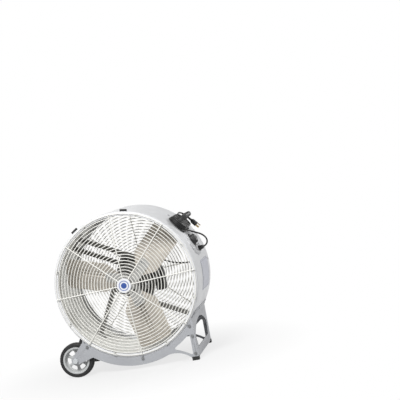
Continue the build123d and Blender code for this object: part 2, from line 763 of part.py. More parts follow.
# rubber feet pushed over the posts' lower ends
with BuildPart() as foot_pads:
    pad_left = DRUM_X + POST_OUTER - FOOT_WIDTH - PAD_WALL
    pad_right = DRUM_X + POST_OUTER + PAD_WALL
    plate_room = PLATE_FRONT - sheet_face + PANEL_THICKNESS + 2 * SEAT
    for side in (-1, 1):
        pad_outer = side * (PLATE_FRONT + PAD_WALL)
        pad_inner = side * (PLATE_FRONT + PAD_WALL - PAD_DEPTH)
        room_middle = side * (PLATE_FRONT + SEAT - plate_room / 2)
        with BuildSketch(Plane.XY) as pad_outline:
            with Locations(((pad_left + pad_right) / 2, (pad_outer + pad_inner) / 2)):
                Rectangle(pad_right - pad_left, PAD_DEPTH)
        extrude(amount=PAD_HEIGHT)
        with BuildSketch(Plane.XY.offset(PAD_SOLE)) as pad_room:
            with Locations(((pad_left + pad_right) / 2 - 2 * PAD_WALL, room_middle)):
                Rectangle(pad_right - pad_left + 2 * (PAD_WALL + SEAT), plate_room)
            with Locations((DRUM_X + POST_OUTER - PANEL_THICKNESS / 2, pad_inner)):
                Rectangle(PANEL_THICKNESS + 2 * SEAT, 2 * (PAD_DEPTH - 2 * PAD_WALL))
        extrude(amount=PAD_HEIGHT - PAD_SOLE, mode=Mode.SUBTRACT)
foot_pads.part.label = "foot_pads"
export_step(foot_pads.part, "parts/foot_pads.step")

# ---------------------------------------------------------------- axle and wheels

washer_face = PLATE_BACK - SLIP - AXLE_WASHER
hub_outer = washer_face - SEAT
hub_inner = hub_outer - WHEEL_HUB_LENGTH
wheel_middle = (hub_outer + hub_inner) / 2
collar_outer = hub_inner - SEAT
axle_reach = PLATE_FRONT + CAP_HEIGHT - CAP_ROOF


def on_axle(y):
    """A plane across the axle that faces the front."""
    return facing(y, AXLE_X, WHEEL_RADIUS)


def axle_rings(name, inner, outer, faces):
    """Equal rings about the axle, one for each pair of outer and inner faces, at both ends."""
    with BuildPart() as rings:
        for side in (-1, 1):
            for outer_face, inner_face in faces:
                with BuildSketch(on_axle(side * outer_face)) as ring:
                    Circle(outer)
                    Circle(inner, mode=Mode.SUBTRACT)
                extrude(amount=side * (outer_face - inner_face))
    rings.part.label = name
    export_step(rings.part, "parts/" + name + ".step")


with BuildPart() as axle:
    with BuildSketch(on_axle(axle_reach)) as axle_section:
        Circle(AXLE_RADIUS)
    extrude(amount=2 * axle_reach)
    chamfer(axle.edges().group_by(Axis.Y)[0], AXLE_CHAMFER)
    chamfer(axle.edges().group_by(Axis.Y)[-1], AXLE_CHAMFER)
axle.part.label = "axle"
export_step(axle.part, "parts/axle.step")

axle_hole = AXLE_RADIUS + SLIP
axle_rings("axle_washers", axle_hole, COLLAR_RADIUS, [(PLATE_BACK - SLIP, washer_face)])
axle_rings("axle_collars", axle_hole, COLLAR_RADIUS, [(collar_outer, collar_outer - COLLAR_LENGTH)])

with BuildPart() as axle_caps:
    for side in (-1, 1):
        with BuildSketch(on_axle(side * (PLATE_FRONT + SLIP))) as cap_outline:
            Circle(CAP_RADIUS)
        extrude(amount=-side * CAP_HEIGHT, taper=CAP_TAPER)
        with BuildSketch(on_axle(side * PLATE_FRONT)) as cap_bore:
            Circle(axle_hole)
        extrude(amount=-side * (CAP_HEIGHT - CAP_ROOF + SEAT), mode=Mode.SUBTRACT)
axle_caps.part.label = "axle_caps"
export_step(axle_caps.part, "parts/axle_caps.step")

for side, end in ((-1, "front"), (1, "rear")):
    middle = side * wheel_middle
    with BuildPart() as tyre:
        with BuildSketch(Plane.XY.offset(WHEEL_RADIUS)) as tyre_section:
            with Locations((AXLE_X + (RIM_RADIUS + WHEEL_RADIUS) / 2, middle)):
                Rectangle(WHEEL_RADIUS - RIM_RADIUS, TYRE_WIDTH)
            fillet(tyre_section.vertices().group_by(Axis.X)[-1], TYRE_ROUND)
        revolve(axis=AXLE_AXIS)
    tyre.part.label = end + "_tyre"
    export_step(tyre.part, "parts/" + end + "_tyre.step")

    rim_outer = RIM_RADIUS - SLIP
    with BuildPart() as rim:
        with BuildSketch(Plane.XY.offset(WHEEL_RADIUS)) as rim_section:
            with Locations((AXLE_X + rim_outer - RIM_BARREL / 2, middle)):
                Rectangle(RIM_BARREL, TYRE_WIDTH)
            with Locations((AXLE_X + (axle_hole + WHEEL_HUB_RADIUS) / 2, middle)):
                Rectangle(WHEEL_HUB_RADIUS - axle_hole, WHEEL_HUB_LENGTH)
            with Locations((AXLE_X + (WHEEL_HUB_RADIUS + rim_outer - RIM_BARREL) / 2, middle)):
                Rectangle(rim_outer - RIM_BARREL - WHEEL_HUB_RADIUS + 2 * SEAT, WHEEL_WEB)
        revolve(axis=AXLE_AXIS)
        with BuildSketch(on_axle(middle)) as web_openings:
            window_inner = WHEEL_HUB_RADIUS + RIM_HUB_EDGE
            window_outer = rim_outer - RIM_BARREL - RIM_BARREL_EDGE
            for i in range(RIM_WINDOWS):
                window_start = 360 / RIM_WINDOWS * i - RIM_WINDOW_TURN / 2
                sector(window_inner, window_outer, window_start, window_start + RIM_WINDOW_TURN)
            fillet(web_openings.vertices(), RIM_WINDOW_CORNER)
        extrude(amount=WHEEL_WEB, both=True, mode=Mode.SUBTRACT)
    rim.part.label = end + "_wheel_rim"
    export_step(rim.part, "parts/" + end + "_wheel_rim.step")

# ---------------------------------------------------------------- blades, hub and shaft

blade_curve = ((BLADE_CHORD / 2) ** 2 + BLADE_CAMBER**2) / (2 * BLADE_CAMBER)
blade_back = BLADE_CAMBER + BLADE_THICKNESS
arm_seat = BLADE_CAMBER * (1 - (ARM_WIDTH / BLADE_CHORD) ** 2) - SEAT
tip_half = sqrt(BLADE_TIP**2 - (BLADE_CHORD / 2) ** 2)
blade_rivet_spots = [
    (ARM_REACH - 2 * ARM_MARGIN, -ARM_WIDTH / 2 + ARM_MARGIN),
    (ARM_REACH - 2 * ARM_MARGIN, ARM_WIDTH / 2 - ARM_MARGIN),
    (ARM_REACH - ARM_MARGIN, 0),
]
hub_front = BLADE_PLANE - HUB_LENGTH / 2 - HUB_SHIFT


def blade_plane(angle, height=0.0):
    """A blade's own plane: local X runs out along it, Y across its chord and Z to the front."""
    turn = radians(angle)
    pitch = radians(BLADE_PITCH)
    front = Vector(-sin(turn) * sin(pitch), -cos(pitch), cos(turn) * sin(pitch))
    middle = Vector(DRUM_X, BLADE_PLANE, AXIS_HEIGHT) + front * height
    return Plane(origin=middle, x_dir=(cos(turn), 0, sin(turn)), z_dir=front)


def screw_plane(angle, reach):
    """A plane so far from the shaft's axis that faces outwards, at the hub's set screws."""
    outwards = Vector(cos(radians(angle)), 0, sin(radians(angle)))
    middle = Vector(DRUM_X, hub_front + SET_SCREW, AXIS_HEIGHT)
    return Plane(origin=middle + outwards * reach, x_dir=(0, 1, 0), z_dir=outwards)


blade_angles = [BLADE_PHASE + 360 / BLADE_COUNT * i for i in range(BLADE_COUNT)]

for i, angle in enumerate(blade_angles):
    base = blade_plane(angle)
    section_plane = Plane(
        origin=base.from_local_coords((BLADE_ROOT, 0, 0)), x_dir=base.y_dir, z_dir=base.x_dir
    )
    with BuildPart() as blade:
        with BuildSketch(base) as planform:
            with BuildLine() as planform_outline:
                Polyline(
                    (tip_half, BLADE_CHORD / 2),
                    (BLADE_SHOULDER, BLADE_CHORD / 2),
                    (BLADE_ROOT, BLADE_ROOT_WIDTH / 2),
                    (BLADE_ROOT, -BLADE_ROOT_WIDTH / 2),
                    (BLADE_SHOULDER, -BLADE_CHORD / 2),
                    (tip_half, -BLADE_CHORD / 2),
                )
                ThreePointArc(
                    (tip_half, -BLADE_CHORD / 2), (BLADE_TIP, 0), (tip_half, BLADE_CHORD / 2)
                )
            make_face()
            fillet(planform.vertices().group_by(Axis.X)[-1], BLADE_CORNER)
            fillet(planform.vertices().filter_by_position(
                Axis.X, BLADE_SHOULDER - SEAT, BLADE_SHOULDER + SEAT), BLADE_CORNER)
        extrude(amount=2 * blade_back, both=True)
        with BuildSketch(section_plane) as camber_band:
            with Locations((0, blade_curve - BLADE_CAMBER)):
                Circle(blade_curve + BLADE_THICKNESS)
                Circle(blade_curve, mode=Mode.SUBTRACT)
            Rectangle(BLADE_CHORD + BLADE_CORNER, 4 * blade_back, mode=Mode.INTERSECT)
        extrude(amount=BLADE_TIP, mode=Mode.INTERSECT)
        with BuildSketch(blade_plane(angle, blade_back)) as blade_holes:
            with Locations(*blade_rivet_spots):
                Circle(RIVET_SHANK + HOLE_PLAY)
        extrude(amount=-3 * blade_back, mode=Mode.SUBTRACT)
    blade.part.label = "blade_" + str(i + 1)
    export_step(blade.part, "parts/blade_" + str(i + 1) + ".step")

with BuildPart() as blade_hub:
    with BuildSketch(facing(hub_front + HUB_LENGTH)) as hub_outline:
        Circle(HUB_RADIUS)
    extrude(amount=HUB_LENGTH)
    fillet(blade_hub.edges().group_by(Axis.Y)[0], HUB_ROUND)
    for angle in blade_angles:
        with BuildSketch(blade_plane(angle, -arm_seat)) as arm_outline:
            with Locations(((ARM_REACH + HUB_RADIUS / 2) / 2, 0)):
                Rectangle(ARM_REACH - HUB_RADIUS / 2, ARM_WIDTH)
            fillet(arm_outline.vertices().group_by(Axis.X)[-1], ARM_MARGIN)
        extrude(amount=ARM_THICKNESS)
        with BuildSketch(blade_plane(angle, -arm_seat)) as arm_holes:
            with Locations(*blade_rivet_spots):
                Circle(RIVET_SHANK + HOLE_PLAY)
        extrude(amount=ARM_THICKNESS, mode=Mode.SUBTRACT)
    with BuildSketch(facing(hub_front + HUB_LENGTH)) as hub_bore:
        Circle(SHAFT_RADIUS + SLIP)
    extrude(amount=HUB_LENGTH, mode=Mode.SUBTRACT)
    for angle in SET_SCREW_ANGLES:
        disc_on(screw_plane(angle, 0), SET_SCREW / 2 + HOLE_PLAY, 2 * HUB_RADIUS, Mode.SUBTRACT)
blade_hub.part.label = "blade_hub"
export_step(blade_hub.part, "parts/blade_hub.step")

with BuildPart() as hub_set_screws:
    for angle in SET_SCREW_ANGLES:
        screw_seat = SHAFT_RADIUS + SLIP
        disc_on(screw_plane(angle, screw_seat), SET_SCREW / 2, HUB_RADIUS - screw_seat - SEAT)
hub_set_screws.part.label = "hub_set_screws"
export_step(hub_set_screws.part, "parts/hub_set_screws.step")

with BuildPart() as blade_rivets:
    for angle in blade_angles:
        for spot in blade_rivet_spots:
            head_height = -arm_seat + ARM_THICKNESS + SLIP
            tail_height = -blade_back - SLIP
            head = shifted(blade_plane(angle, head_height), *spot)
            tail = shifted(blade_plane(angle, tail_height), *spot)
            disc_on(head, BLADE_RIVET, TAIL_DOME)
            disc_on(tail, RIVET_SHANK, head_height - tail_height)
            disc_on(tail, RIVET_TAIL, -TAIL_DOME)
blade_rivets.part.label = "blade_rivets"
export_step(blade_rivets.part, "parts/blade_rivets.step")

shaft_rear = MOTOR_REAR - BELL_WALL - SEAT

with BuildPart() as motor_shaft:
    with BuildSketch(facing(shaft_rear)) as shaft_section:
        Circle(SHAFT_RADIUS)
    extrude(amount=shaft_rear - hub_front + SHAFT_PROUD)
    chamfer(motor_shaft.edges().group_by(Axis.Y)[0], SHAFT_PROUD / 2)
motor_shaft.part.label = "motor_shaft"
export_step(motor_shaft.part, "parts/motor_shaft.step")

stator_rear = (MOTOR_FRONT + MOTOR_REAR) / 2 + STATOR_LENGTH / 2

with BuildPart() as rotor_core:
    with BuildSketch(facing(stator_rear)) as core_section:
        Circle(STATOR_BORE - AIR_GAP)
        Circle(SHAFT_RADIUS + SLIP, mode=Mode.SUBTRACT)
    extrude(amount=STATOR_LENGTH)
rotor_core.part.label = "rotor_core"
export_step(rotor_core.part, "parts/rotor_core.step")

# ---------------------------------------------------------------- motor

shell_bore = MOTOR_RADIUS - MOTOR_WALL
lug_face = STRUT_PLANE + STRUT_DEPTH / 2
lug_angles = [direction + 180 / STRUT_COUNT for direction in strut_directions]
lug_bolt_circle = (LUG_REACH + MOTOR_RADIUS) / 2
lug_root = (LUG_REACH - LUG_WIDTH / 2 + shell_bore) / 2
motor_bolt_circle = shell_bore - MOTOR_BOLT

with BuildPart() as motor_shell:
    with BuildSketch(facing(MOTOR_REAR - BELL_LENGTH)) as shell_section:
        Circle(MOTOR_RADIUS)
    extrude(amount=MOTOR_REAR - MOTOR_FRONT - 2 * BELL_LENGTH)
    with BuildSketch(facing(lug_face - SLIP)) as lug_outline:
        with PolarLocations(LUG_REACH - LUG_WIDTH / 2, STRUT_COUNT, start_angle=lug_angles[0]):
            Circle(LUG_WIDTH / 2)
        with PolarLocations(lug_root, STRUT_COUNT, start_angle=lug_angles[0]):
            Rectangle(LUG_REACH - LUG_WIDTH / 2 - shell_bore, LUG_WIDTH)
    extrude(amount=LUG_THICKNESS)
    with BuildSketch(facing(0)) as shell_holes:
        Circle(shell_bore)
        with PolarLocations(lug_bolt_circle, STRUT_COUNT, start_angle=lug_angles[0]):
            Circle(STRUT_BOLT / 2 + HOLE_PLAY)
    extrude(amount=MOTOR_REAR, both=True, mode=Mode.SUBTRACT)
motor_shell.part.label = "motor_shell"
export_step(motor_shell.part, "parts/motor_shell.step")

bearing_seat = BELL_WALL + SLIP
boss_radius = BEARING_RADIUS + BOSS_WALL

for face, inward, end in ((MOTOR_FRONT, 1, "front"), (MOTOR_REAR, -1, "rear")):
    with BuildPart() as bell:
        with BuildSketch(Plane.XY.offset(AXIS_HEIGHT)) as bell_section:
            with BuildLine() as bell_outline:
                Polyline(
                    *[
                        (DRUM_X + radius, face + inward * depth)
                        for radius, depth in (
                            (SHAFT_RADIUS + BELL_PLAY, 0),
                            (MOTOR_RADIUS - BELL_ROUND, 0),
                            (MOTOR_RADIUS, BELL_ROUND),
                            (MOTOR_RADIUS, BELL_LENGTH - SLIP),
                            (shell_bore, BELL_LENGTH - SLIP),
                            (shell_bore, BELL_WALL),
                            (boss_radius, BELL_WALL),
                            (boss_radius, bearing_seat + BEARING_WIDTH),
                            (BEARING_RADIUS + SLIP, bearing_seat + BEARING_WIDTH),
                            (BEARING_RADIUS + SLIP, BELL_WALL),
                            (SHAFT_RADIUS + BELL_PLAY, BELL_WALL),
                        )
                    ],
                    close=True,
                )
            make_face()
        revolve(axis=FAN_AXIS)
        with BuildSketch(facing(face)) as bell_holes:
            with PolarLocations(motor_bolt_circle, STRUT_COUNT, start_angle=STRUT_ANGLE):
                Circle(MOTOR_BOLT / 2 + HOLE_PLAY)
        extrude(amount=BELL_LENGTH, both=True, mode=Mode.SUBTRACT)
    bell.part.label = "motor_" + end + "_bell"
    export_step(bell.part, "parts/motor_" + end + "_bell.step")

with BuildPart() as motor_stator:
    with BuildSketch(facing(stator_rear)) as stator_section:
        Circle(shell_bore - SLIP)
        Circle(STATOR_BORE, mode=Mode.SUBTRACT)
        with PolarLocations(motor_bolt_circle, STRUT_COUNT, start_angle=STRUT_ANGLE):
            Circle(MOTOR_BOLT / 2 + HOLE_PLAY, mode=Mode.SUBTRACT)
    extrude(amount=STATOR_LENGTH)
motor_stator.part.label = "motor_stator"
export_step(motor_stator.part, "parts/motor_stator.step")

with BuildPart() as motor_bearings:
    for face, inward in ((MOTOR_FRONT, 1), (MOTOR_REAR, -1)):
        with BuildSketch(facing(face + inward * bearing_seat)) as bearing_section:
            Circle(BEARING_RADIUS)
            Circle(SHAFT_RADIUS + SLIP, mode=Mode.SUBTRACT)
        extrude(amount=-inward * BEARING_WIDTH)
motor_bearings.part.label = "motor_bearings"
export_step(motor_bearings.part, "parts/motor_bearings.step")

with BuildPart() as motor_bolts:
    for angle in strut_directions:
        sideways, up = polar(motor_bolt_circle, angle)
        spot = (DRUM_X + sideways, AXIS_HEIGHT + up)
        front_seat = facing(MOTOR_FRONT - SLIP, *spot)
        rear_seat = facing(MOTOR_REAR + SLIP, *spot)
        hexagon_on(front_seat, MOTOR_BOLT * FLATS_SHARE, MOTOR_BOLT * HEAD_SHARE)
        disc_on(front_seat, MOTOR_BOLT / 2, MOTOR_FRONT - MOTOR_REAR - 2 * SLIP)
        hexagon_on(rear_seat, MOTOR_BOLT * FLATS_SHARE, -MOTOR_BOLT * HEAD_SHARE)
motor_bolts.part.label = "motor_bolts"
export_step(motor_bolts.part, "parts/motor_bolts.step")

# ---------------------------------------------------------------- motor mount

plate_half = STRUT_OFFSET + STRUT_SIZE / 2
strut_bolt_spots = []
for direction in strut_directions:
    for along in STRUT_BOLT_PLACES:
        spot = Vector(along, -STRUT_OFFSET).rotate(Axis.Z, direction)
        strut_bolt_spots.append((spot.X, spot.Y))
lug_bolt_spots = [polar(lug_bolt_circle, angle) for angle in lug_angles]

with BuildPart() as motor_mount_plate:
    with BuildSketch(facing(lug_face + MOUNT_PLATE)) as mount_outline:
        Rectangle(2 * plate_half, 2 * plate_half, rotation=STRUT_ANGLE)
        Circle(MOTOR_RADIUS + SEAT, mode=Mode.SUBTRACT)
        with Locations(*strut_bolt_spots, *lug_bolt_spots):
            Circle(STRUT_BOLT / 2 + HOLE_PLAY, mode=Mode.SUBTRACT)
    extrude(amount=MOUNT_PLATE)
motor_mount_plate.part.label = "motor_mount_plate"
export_step(motor_mount_plate.part, "parts/motor_mount_plate.step")


def strut(direction, offset, start, foot_width):
    """Adds a square tube past the motor, in the part being made, with its foot on the drum."""
    with BuildSketch(facing(STRUT_PLANE)) as tube_outline:
        with Locations(Location((0, 0), direction)):
            with Locations(((start + DRUM_RADIUS) / 2, -offset)):
                Rectangle(DRUM_RADIUS - start, STRUT_SIZE)
        Circle(FOOT_FACE - FOOT_SHEET / 2, mode=Mode.INTERSECT)
    with BuildSketch(facing(STRUT_PLANE)) as room_outline:
        with Locations(Location((0, 0), direction)):
            with Locations(((start + DRUM_RADIUS) / 2, -offset)):
                Rectangle(DRUM_RADIUS - start, STRUT_SIZE - 2 * STRUT_WALL)
        Circle(FOOT_FACE - FOOT_SHEET, mode=Mode.INTERSECT)
    foot_middle = foot_angle(direction, offset)
    foot_turn = turn_of(foot_width / 2)
    with BuildSketch(facing(STRUT_PLANE)) as foot_outline:
        sector(FOOT_FACE - FOOT_SHEET, FOOT_FACE, foot_middle - foot_turn, foot_middle + foot_turn)
    extrude(tube_outline.sketch, amount=STRUT_DEPTH / 2, both=True)
    extrude(foot_outline.sketch, amount=STRUT_DEPTH / 2, both=True)
    room_depth = STRUT_DEPTH / 2 - STRUT_WALL
    extrude(room_outline.sketch, amount=room_depth, both=True, mode=Mode.SUBTRACT)


with BuildPart() as motor_struts:
    for direction in strut_directions:
        strut(direction, STRUT_OFFSET, -STRUT_OFFSET + STRUT_SIZE / 2 + SLIP, STRUT_FOOT)
    strut(brace_direction, BRACE_OFFSET, plate_half + SLIP, BRACE_FOOT)
    with BuildSketch(facing(STRUT_PLANE)) as strut_holes:
        with Locations(*strut_bolt_spots):
            Circle(STRUT_BOLT / 2 + HOLE_PLAY)
    extrude(amount=STRUT_DEPTH, both=True, mode=Mode.SUBTRACT)
    for angle, y, outside, inside in drum_rivet_places:
        if inside > 0:
            side_bore(angle, y, RIVET_SHANK + HOLE_PLAY)
motor_struts.part.label = "motor_struts"
export_step(motor_struts.part, "parts/motor_struts.step")

mount_flats = STRUT_BOLT * FLATS_SHARE
mount_head = STRUT_BOLT * HEAD_SHARE
mount_rear = lug_face + MOUNT_PLATE + SLIP

with BuildPart() as mount_bolts:
    for spots, front in (
        (strut_bolt_spots, STRUT_PLANE - STRUT_DEPTH / 2 - SLIP),
        (lug_bolt_spots, lug_face - 2 * SLIP - LUG_THICKNESS),
    ):
        for sideways, up in spots:
            spot = (DRUM_X + sideways, AXIS_HEIGHT + up)
            hexagon_on(facing(front, *spot), mount_flats, mount_head)
            disc_on(facing(front, *spot), STRUT_BOLT / 2, front - mount_rear)
            hexagon_on(facing(mount_rear, *spot), mount_flats, -mount_head)
mount_bolts.part.label = "mount_bolts"
export_step(mount_bolts.part, "parts/mount_bolts.step")

# ---------------------------------------------------------------- wiring box and motor cable

box_front = mount_rear + BOX_STAND
box_rear = box_front + BOX_DEPTH
box_x = DRUM_X + MOTOR_RADIUS + BOX_GAP + BOX_WIDTH / 2
box_z = AXIS_HEIGHT + BOX_TOP - BOX_HEIGHT / 2
box_back_plane = facing(box_rear, box_x, box_z)

with BuildPart() as wiring_box:
    with BuildSketch(box_back_plane) as box_outline:
        RectangleRounded(BOX_WIDTH, BOX_HEIGHT, BOX_CORNER)
    extrude(amount=BOX_DEPTH)
    with BuildSketch(box_back_plane) as box_room:
        RectangleRounded(BOX_WIDTH - 2 * BOX_WALL, BOX_HEIGHT - 2 * BOX_WALL, BOX_CORNER - BOX_WALL)
    extrude(amount=BOX_DEPTH - BOX_WALL, mode=Mode.SUBTRACT)
    with BuildSketch(facing(box_front + BOX_WALL)) as box_feet:
        with Locations(*BOX_FEET):
            Circle(BOX_FOOT)
    extrude(amount=BOX_STAND + BOX_WALL)
wiring_box.part.label = "wiring_box"
export_step(wiring_box.part, "parts/wiring_box.step")

with BuildPart() as wiring_box_cover:
    with BuildSketch(facing(box_rear + SLIP + BOX_WALL, box_x, box_z)) as cover_outline:
        RectangleRounded(BOX_WIDTH, BOX_HEIGHT, BOX_CORNER)
    extrude(amount=BOX_WALL)
wiring_box_cover.part.label = "wiring_box_cover"
export_step(wiring_box_cover.part, "parts/wiring_box_cover.step")

with BuildPart() as capacitor:
    with BuildSketch(facing(box_rear, box_x, box_z)) as can_section:
        Circle(BOX_WIDTH / 2 - BOX_WALL - CAN_GAP)
    extrude(amount=BOX_DEPTH - BOX_WALL - SLIP)
    fillet(capacitor.edges().group_by(Axis.Y)[0], CAN_ROUND)
capacitor.part.label = "capacitor"
export_step(capacitor.part, "parts/capacitor.step")


def cord_tube(route, diameter, start_plane):
    """Adds a cord along a route of points, with an arc as large as fits at each turn."""
    points = [Vector(point) for point in route]
    radii = []
    for before, at, after in zip(points, points[1:], points[2:]):
        turn = (at - before).get_angle(after - at)
        shorter = min((at - before).length, (after - at).length)
        radii.append(ARC_SHARE * shorter / tan(radians(turn / 2)))
    with BuildLine() as path:
        FilletPolyline(*points, radius=radii)
    with BuildSketch(start_plane) as section:
        Circle(diameter / 2)
    sweep(section.sketch, path=path.wires()[0])
    length = path.wires()[0].length
    print("cord length", round(length, 1), "radii", [round(radius, 1) for radius in radii])
    return length * pi * diameter**2 / 4


control_plane = on_drum(CONTROL_ANGLE)
case_half = CASE_LENGTH / 2
case_top = sqrt(drum_bore**2 - case_half**2) - DRUM_RADIUS - SEAT
cable_y = CASE_SHIFT + CASE_WIDTH / 2 - CABLE_INSET
cable_height = case_top - CASE_DEPTH / 2
cable_ends = [
    control_plane.from_local_coords((case_half + SLIP + run, cable_y, cable_height))
    for run in (CABLE_RUN, 0)
]

# points of the motor's cable: near the motor as (right of the drum's axis, above it, depth), and
# near the wall as (down it, depth, out of it) from the middle of the controls
cable_start_route = [
    (112.0, 28.0, 100.0),
    (112.0, 41.0, 100.0),
    (121.4, 54.0, 100.0),
    (136.6, 59.5, 99.0),
    (158.0, 51.5, 97.0),
    (184.0, 39.5, 94.0),
    (222.0, 30.5, 89.0),
]
cable_wall_route = [
    (76.7, 82.0, -103.2),
    (90.2, 74.0, -68.7),
    (90.8, 68.0, -42.7),
    (82.6, 65.0, -27.0),
]

with BuildPart() as motor_cable:
    cable_points = [(DRUM_X + x, y, AXIS_HEIGHT + z) for x, z, y in cable_start_route]
    cable_start = Plane(origin=cable_points[0], z_dir=(0, 0, 1))
    cable_points += [control_plane.from_local_coords(point) for point in cable_wall_route]
    cable_volume = cord_tube([*cable_points, *cable_ends], MOTOR_LEAD, cable_start)
motor_cable.part.label = "motor_cable"
export_step(motor_cable.part, "parts/motor_cable.step")
print("motor cable volume", round(motor_cable.part.volume), "of", round(cable_volume))

# ---------------------------------------------------------------- controls on the drum's side

with BuildPart() as control_plate:
    with BuildSketch(facing(CONTROL_SHIFT + CONTROL_DEPTH / 2)) as skin_outline:
        half_turn = turn_of(CONTROL_LENGTH / 2 + BORE_REACH)
        sector(plate_bore, PLATE_SKIN, CONTROL_ANGLE - half_turn, CONTROL_ANGLE + half_turn)
    extrude(amount=CONTROL_DEPTH)
    with BuildSketch(on_drum(CONTROL_ANGLE, CONTROL_SHIFT, BORE_REACH)) as control_outline:
        Ellipse(CONTROL_LENGTH / 2, CONTROL_DEPTH / 2)
    extrude(amount=-3 * BORE_REACH, mode=Mode.INTERSECT)
    for angle, y in control_rivets:
        side_bore(angle, y, RIVET_SHANK + HOLE_PLAY)
    side_bore(SWITCH_TURN, SWITCH_SHIFT, SWITCH_STEM + STEM_ROOM)
    side_bore(GLAND_TURN, GLAND_SHIFT, GLAND_THREAD + HOLE_PLAY)
control_plate.part.label = "control_plate"
export_step(control_plate.part, "parts/control_plate.step")

case_plane = on_drum(CONTROL_ANGLE, CASE_SHIFT, case_top)

with BuildPart() as control_case:
    with BuildSketch(case_plane) as case_outline:
        Rectangle(CASE_LENGTH, CASE_WIDTH)
    extrude(amount=-CASE_DEPTH)
    with BuildSketch(case_plane) as case_room:
        Rectangle(CASE_LENGTH - 2 * BOX_WALL, CASE_WIDTH - 2 * BOX_WALL)
    extrude(amount=-CASE_DEPTH + BOX_WALL, mode=Mode.SUBTRACT)
control_case.part.label = "control_case"
export_step(control_case.part, "parts/control_case.step")

switch_top = sqrt(drum_bore**2 - (SWITCH_BODY / 2) ** 2) - DRUM_RADIUS - SEAT
stem_foot = switch_top - STEM_DEPTH

with BuildPart() as rotary_switch:
    with BuildSketch(on_drum(SWITCH_TURN, SWITCH_SHIFT, switch_top)) as switch_outline:
        Rectangle(SWITCH_BODY, SWITCH_BODY)
    extrude(amount=-SWITCH_HEIGHT)
    stem_room = on_drum(SWITCH_TURN, SWITCH_SHIFT, switch_top)
    disc_on(stem_room, SWITCH_STEM + SLIP, -STEM_DEPTH - SEAT, Mode.SUBTRACT)
rotary_switch.part.label = "rotary_switch"
export_step(rotary_switch.part, "parts/rotary_switch.step")

bezel_top = SEAT + CONTROL_SHEET + BEZEL_HEIGHT + SEAT
knob_seat = bezel_top + SEAT

with BuildPart() as switch_bezel:
    disc_on(on_drum(SWITCH_TURN, SWITCH_SHIFT, bezel_top), BEZEL_RADIUS, -2 * bezel_top)
    fillet(switch_bezel.edges().filter_by(GeomType.CIRCLE).sort_by_distance(
        on_drum(SWITCH_TURN, SWITCH_SHIFT, 2 * BORE_REACH).origin)[0], BEZEL_ROUND)
    disc_on(facing(HALF_DEPTH), PLATE_SKIN + SEAT, DRUM_DEPTH, Mode.SUBTRACT)
    side_bore(SWITCH_TURN, SWITCH_SHIFT, SWITCH_STEM + STEM_ROOM)
switch_bezel.part.label = "switch_bezel"
export_step(switch_bezel.part, "parts/switch_bezel.step")

with BuildPart() as switch_stem:
    stem_top = knob_seat + KNOB_SKIRT
    disc_on(on_drum(SWITCH_TURN, SWITCH_SHIFT, stem_foot), SWITCH_STEM, stem_top - stem_foot)
switch_stem.part.label = "switch_stem"
export_step(switch_stem.part, "parts/switch_stem.step")

with BuildPart() as switch_knob:
    with BuildSketch(on_drum(SWITCH_TURN, SWITCH_SHIFT, knob_seat)) as skirt_outline:
        Circle(KNOB_RADIUS)
    extrude(amount=KNOB_SKIRT, taper=KNOB_TAPER)
    with BuildSketch(on_drum(SWITCH_TURN, SWITCH_SHIFT, knob_seat + KNOB_SKIRT)) as bar_outline:
        SlotOverall(2 * KNOB_RADIUS - KNOB_BAR / 2, KNOB_BAR, rotation=90)
    extrude(amount=KNOB_HEIGHT - KNOB_SKIRT, taper=KNOB_TAPER)
    disc_on(
        on_drum(SWITCH_TURN, SWITCH_SHIFT, knob_seat), SWITCH_STEM + SLIP,
        KNOB_SKIRT + SLIP, Mode.SUBTRACT,
    )
switch_knob.part.label = "switch_knob"
export_step(switch_knob.part, "parts/switch_knob.step")

gland_seat = PLATE_SKIN - DRUM_RADIUS + SEAT

with BuildPart() as cord_gland:
    gland_base = on_drum(GLAND_TURN, GLAND_SHIFT, gland_seat)
    hexagon_on(gland_base, 2 * GLAND_RADIUS, GLAND_NUT)
    with BuildSketch(on_drum(GLAND_TURN, GLAND_SHIFT, gland_seat + GLAND_NUT)) as gland_neck:
        Circle(GLAND_NECK)
    extrude(amount=GLAND_HEIGHT - GLAND_NUT, taper=GLAND_TAPER)
    disc_on(gland_base, GLAND_THREAD, case_top - gland_seat)
    side_bore(GLAND_TURN, GLAND_SHIFT, CORD_DIAMETER / 2 + SEAT)
    disc_on(
        on_drum(GLAND_TURN, GLAND_SHIFT, gland_seat + GLAND_HEIGHT),
        CORD_DIAMETER / 2 + SEAT, -GLAND_HEIGHT, Mode.SUBTRACT,
    )
cord_gland.part.label = "cord_gland"
export_step(cord_gland.part, "parts/cord_gland.step")

with BuildPart() as nameplate:
    with BuildSketch(facing(NAMEPLATE_SHIFT + NAMEPLATE_DEPTH / 2)) as nameplate_skin:
        half_turn = turn_of(NAMEPLATE_LENGTH / 2 + BORE_REACH)
        sector(
            plate_bore, plate_bore + NAMEPLATE_SHEET,
            NAMEPLATE_ANGLE - half_turn, NAMEPLATE_ANGLE + half_turn,
        )
    extrude(amount=NAMEPLATE_DEPTH)
    with BuildSketch(on_drum(NAMEPLATE_ANGLE, NAMEPLATE_SHIFT, BORE_REACH)) as nameplate_outline:
        RectangleRounded(NAMEPLATE_LENGTH, NAMEPLATE_DEPTH, NAMEPLATE_CORNER)
    extrude(amount=-3 * BORE_REACH, mode=Mode.INTERSECT)
nameplate.part.label = "nameplate"
export_step(nameplate.part, "parts/nameplate.step")

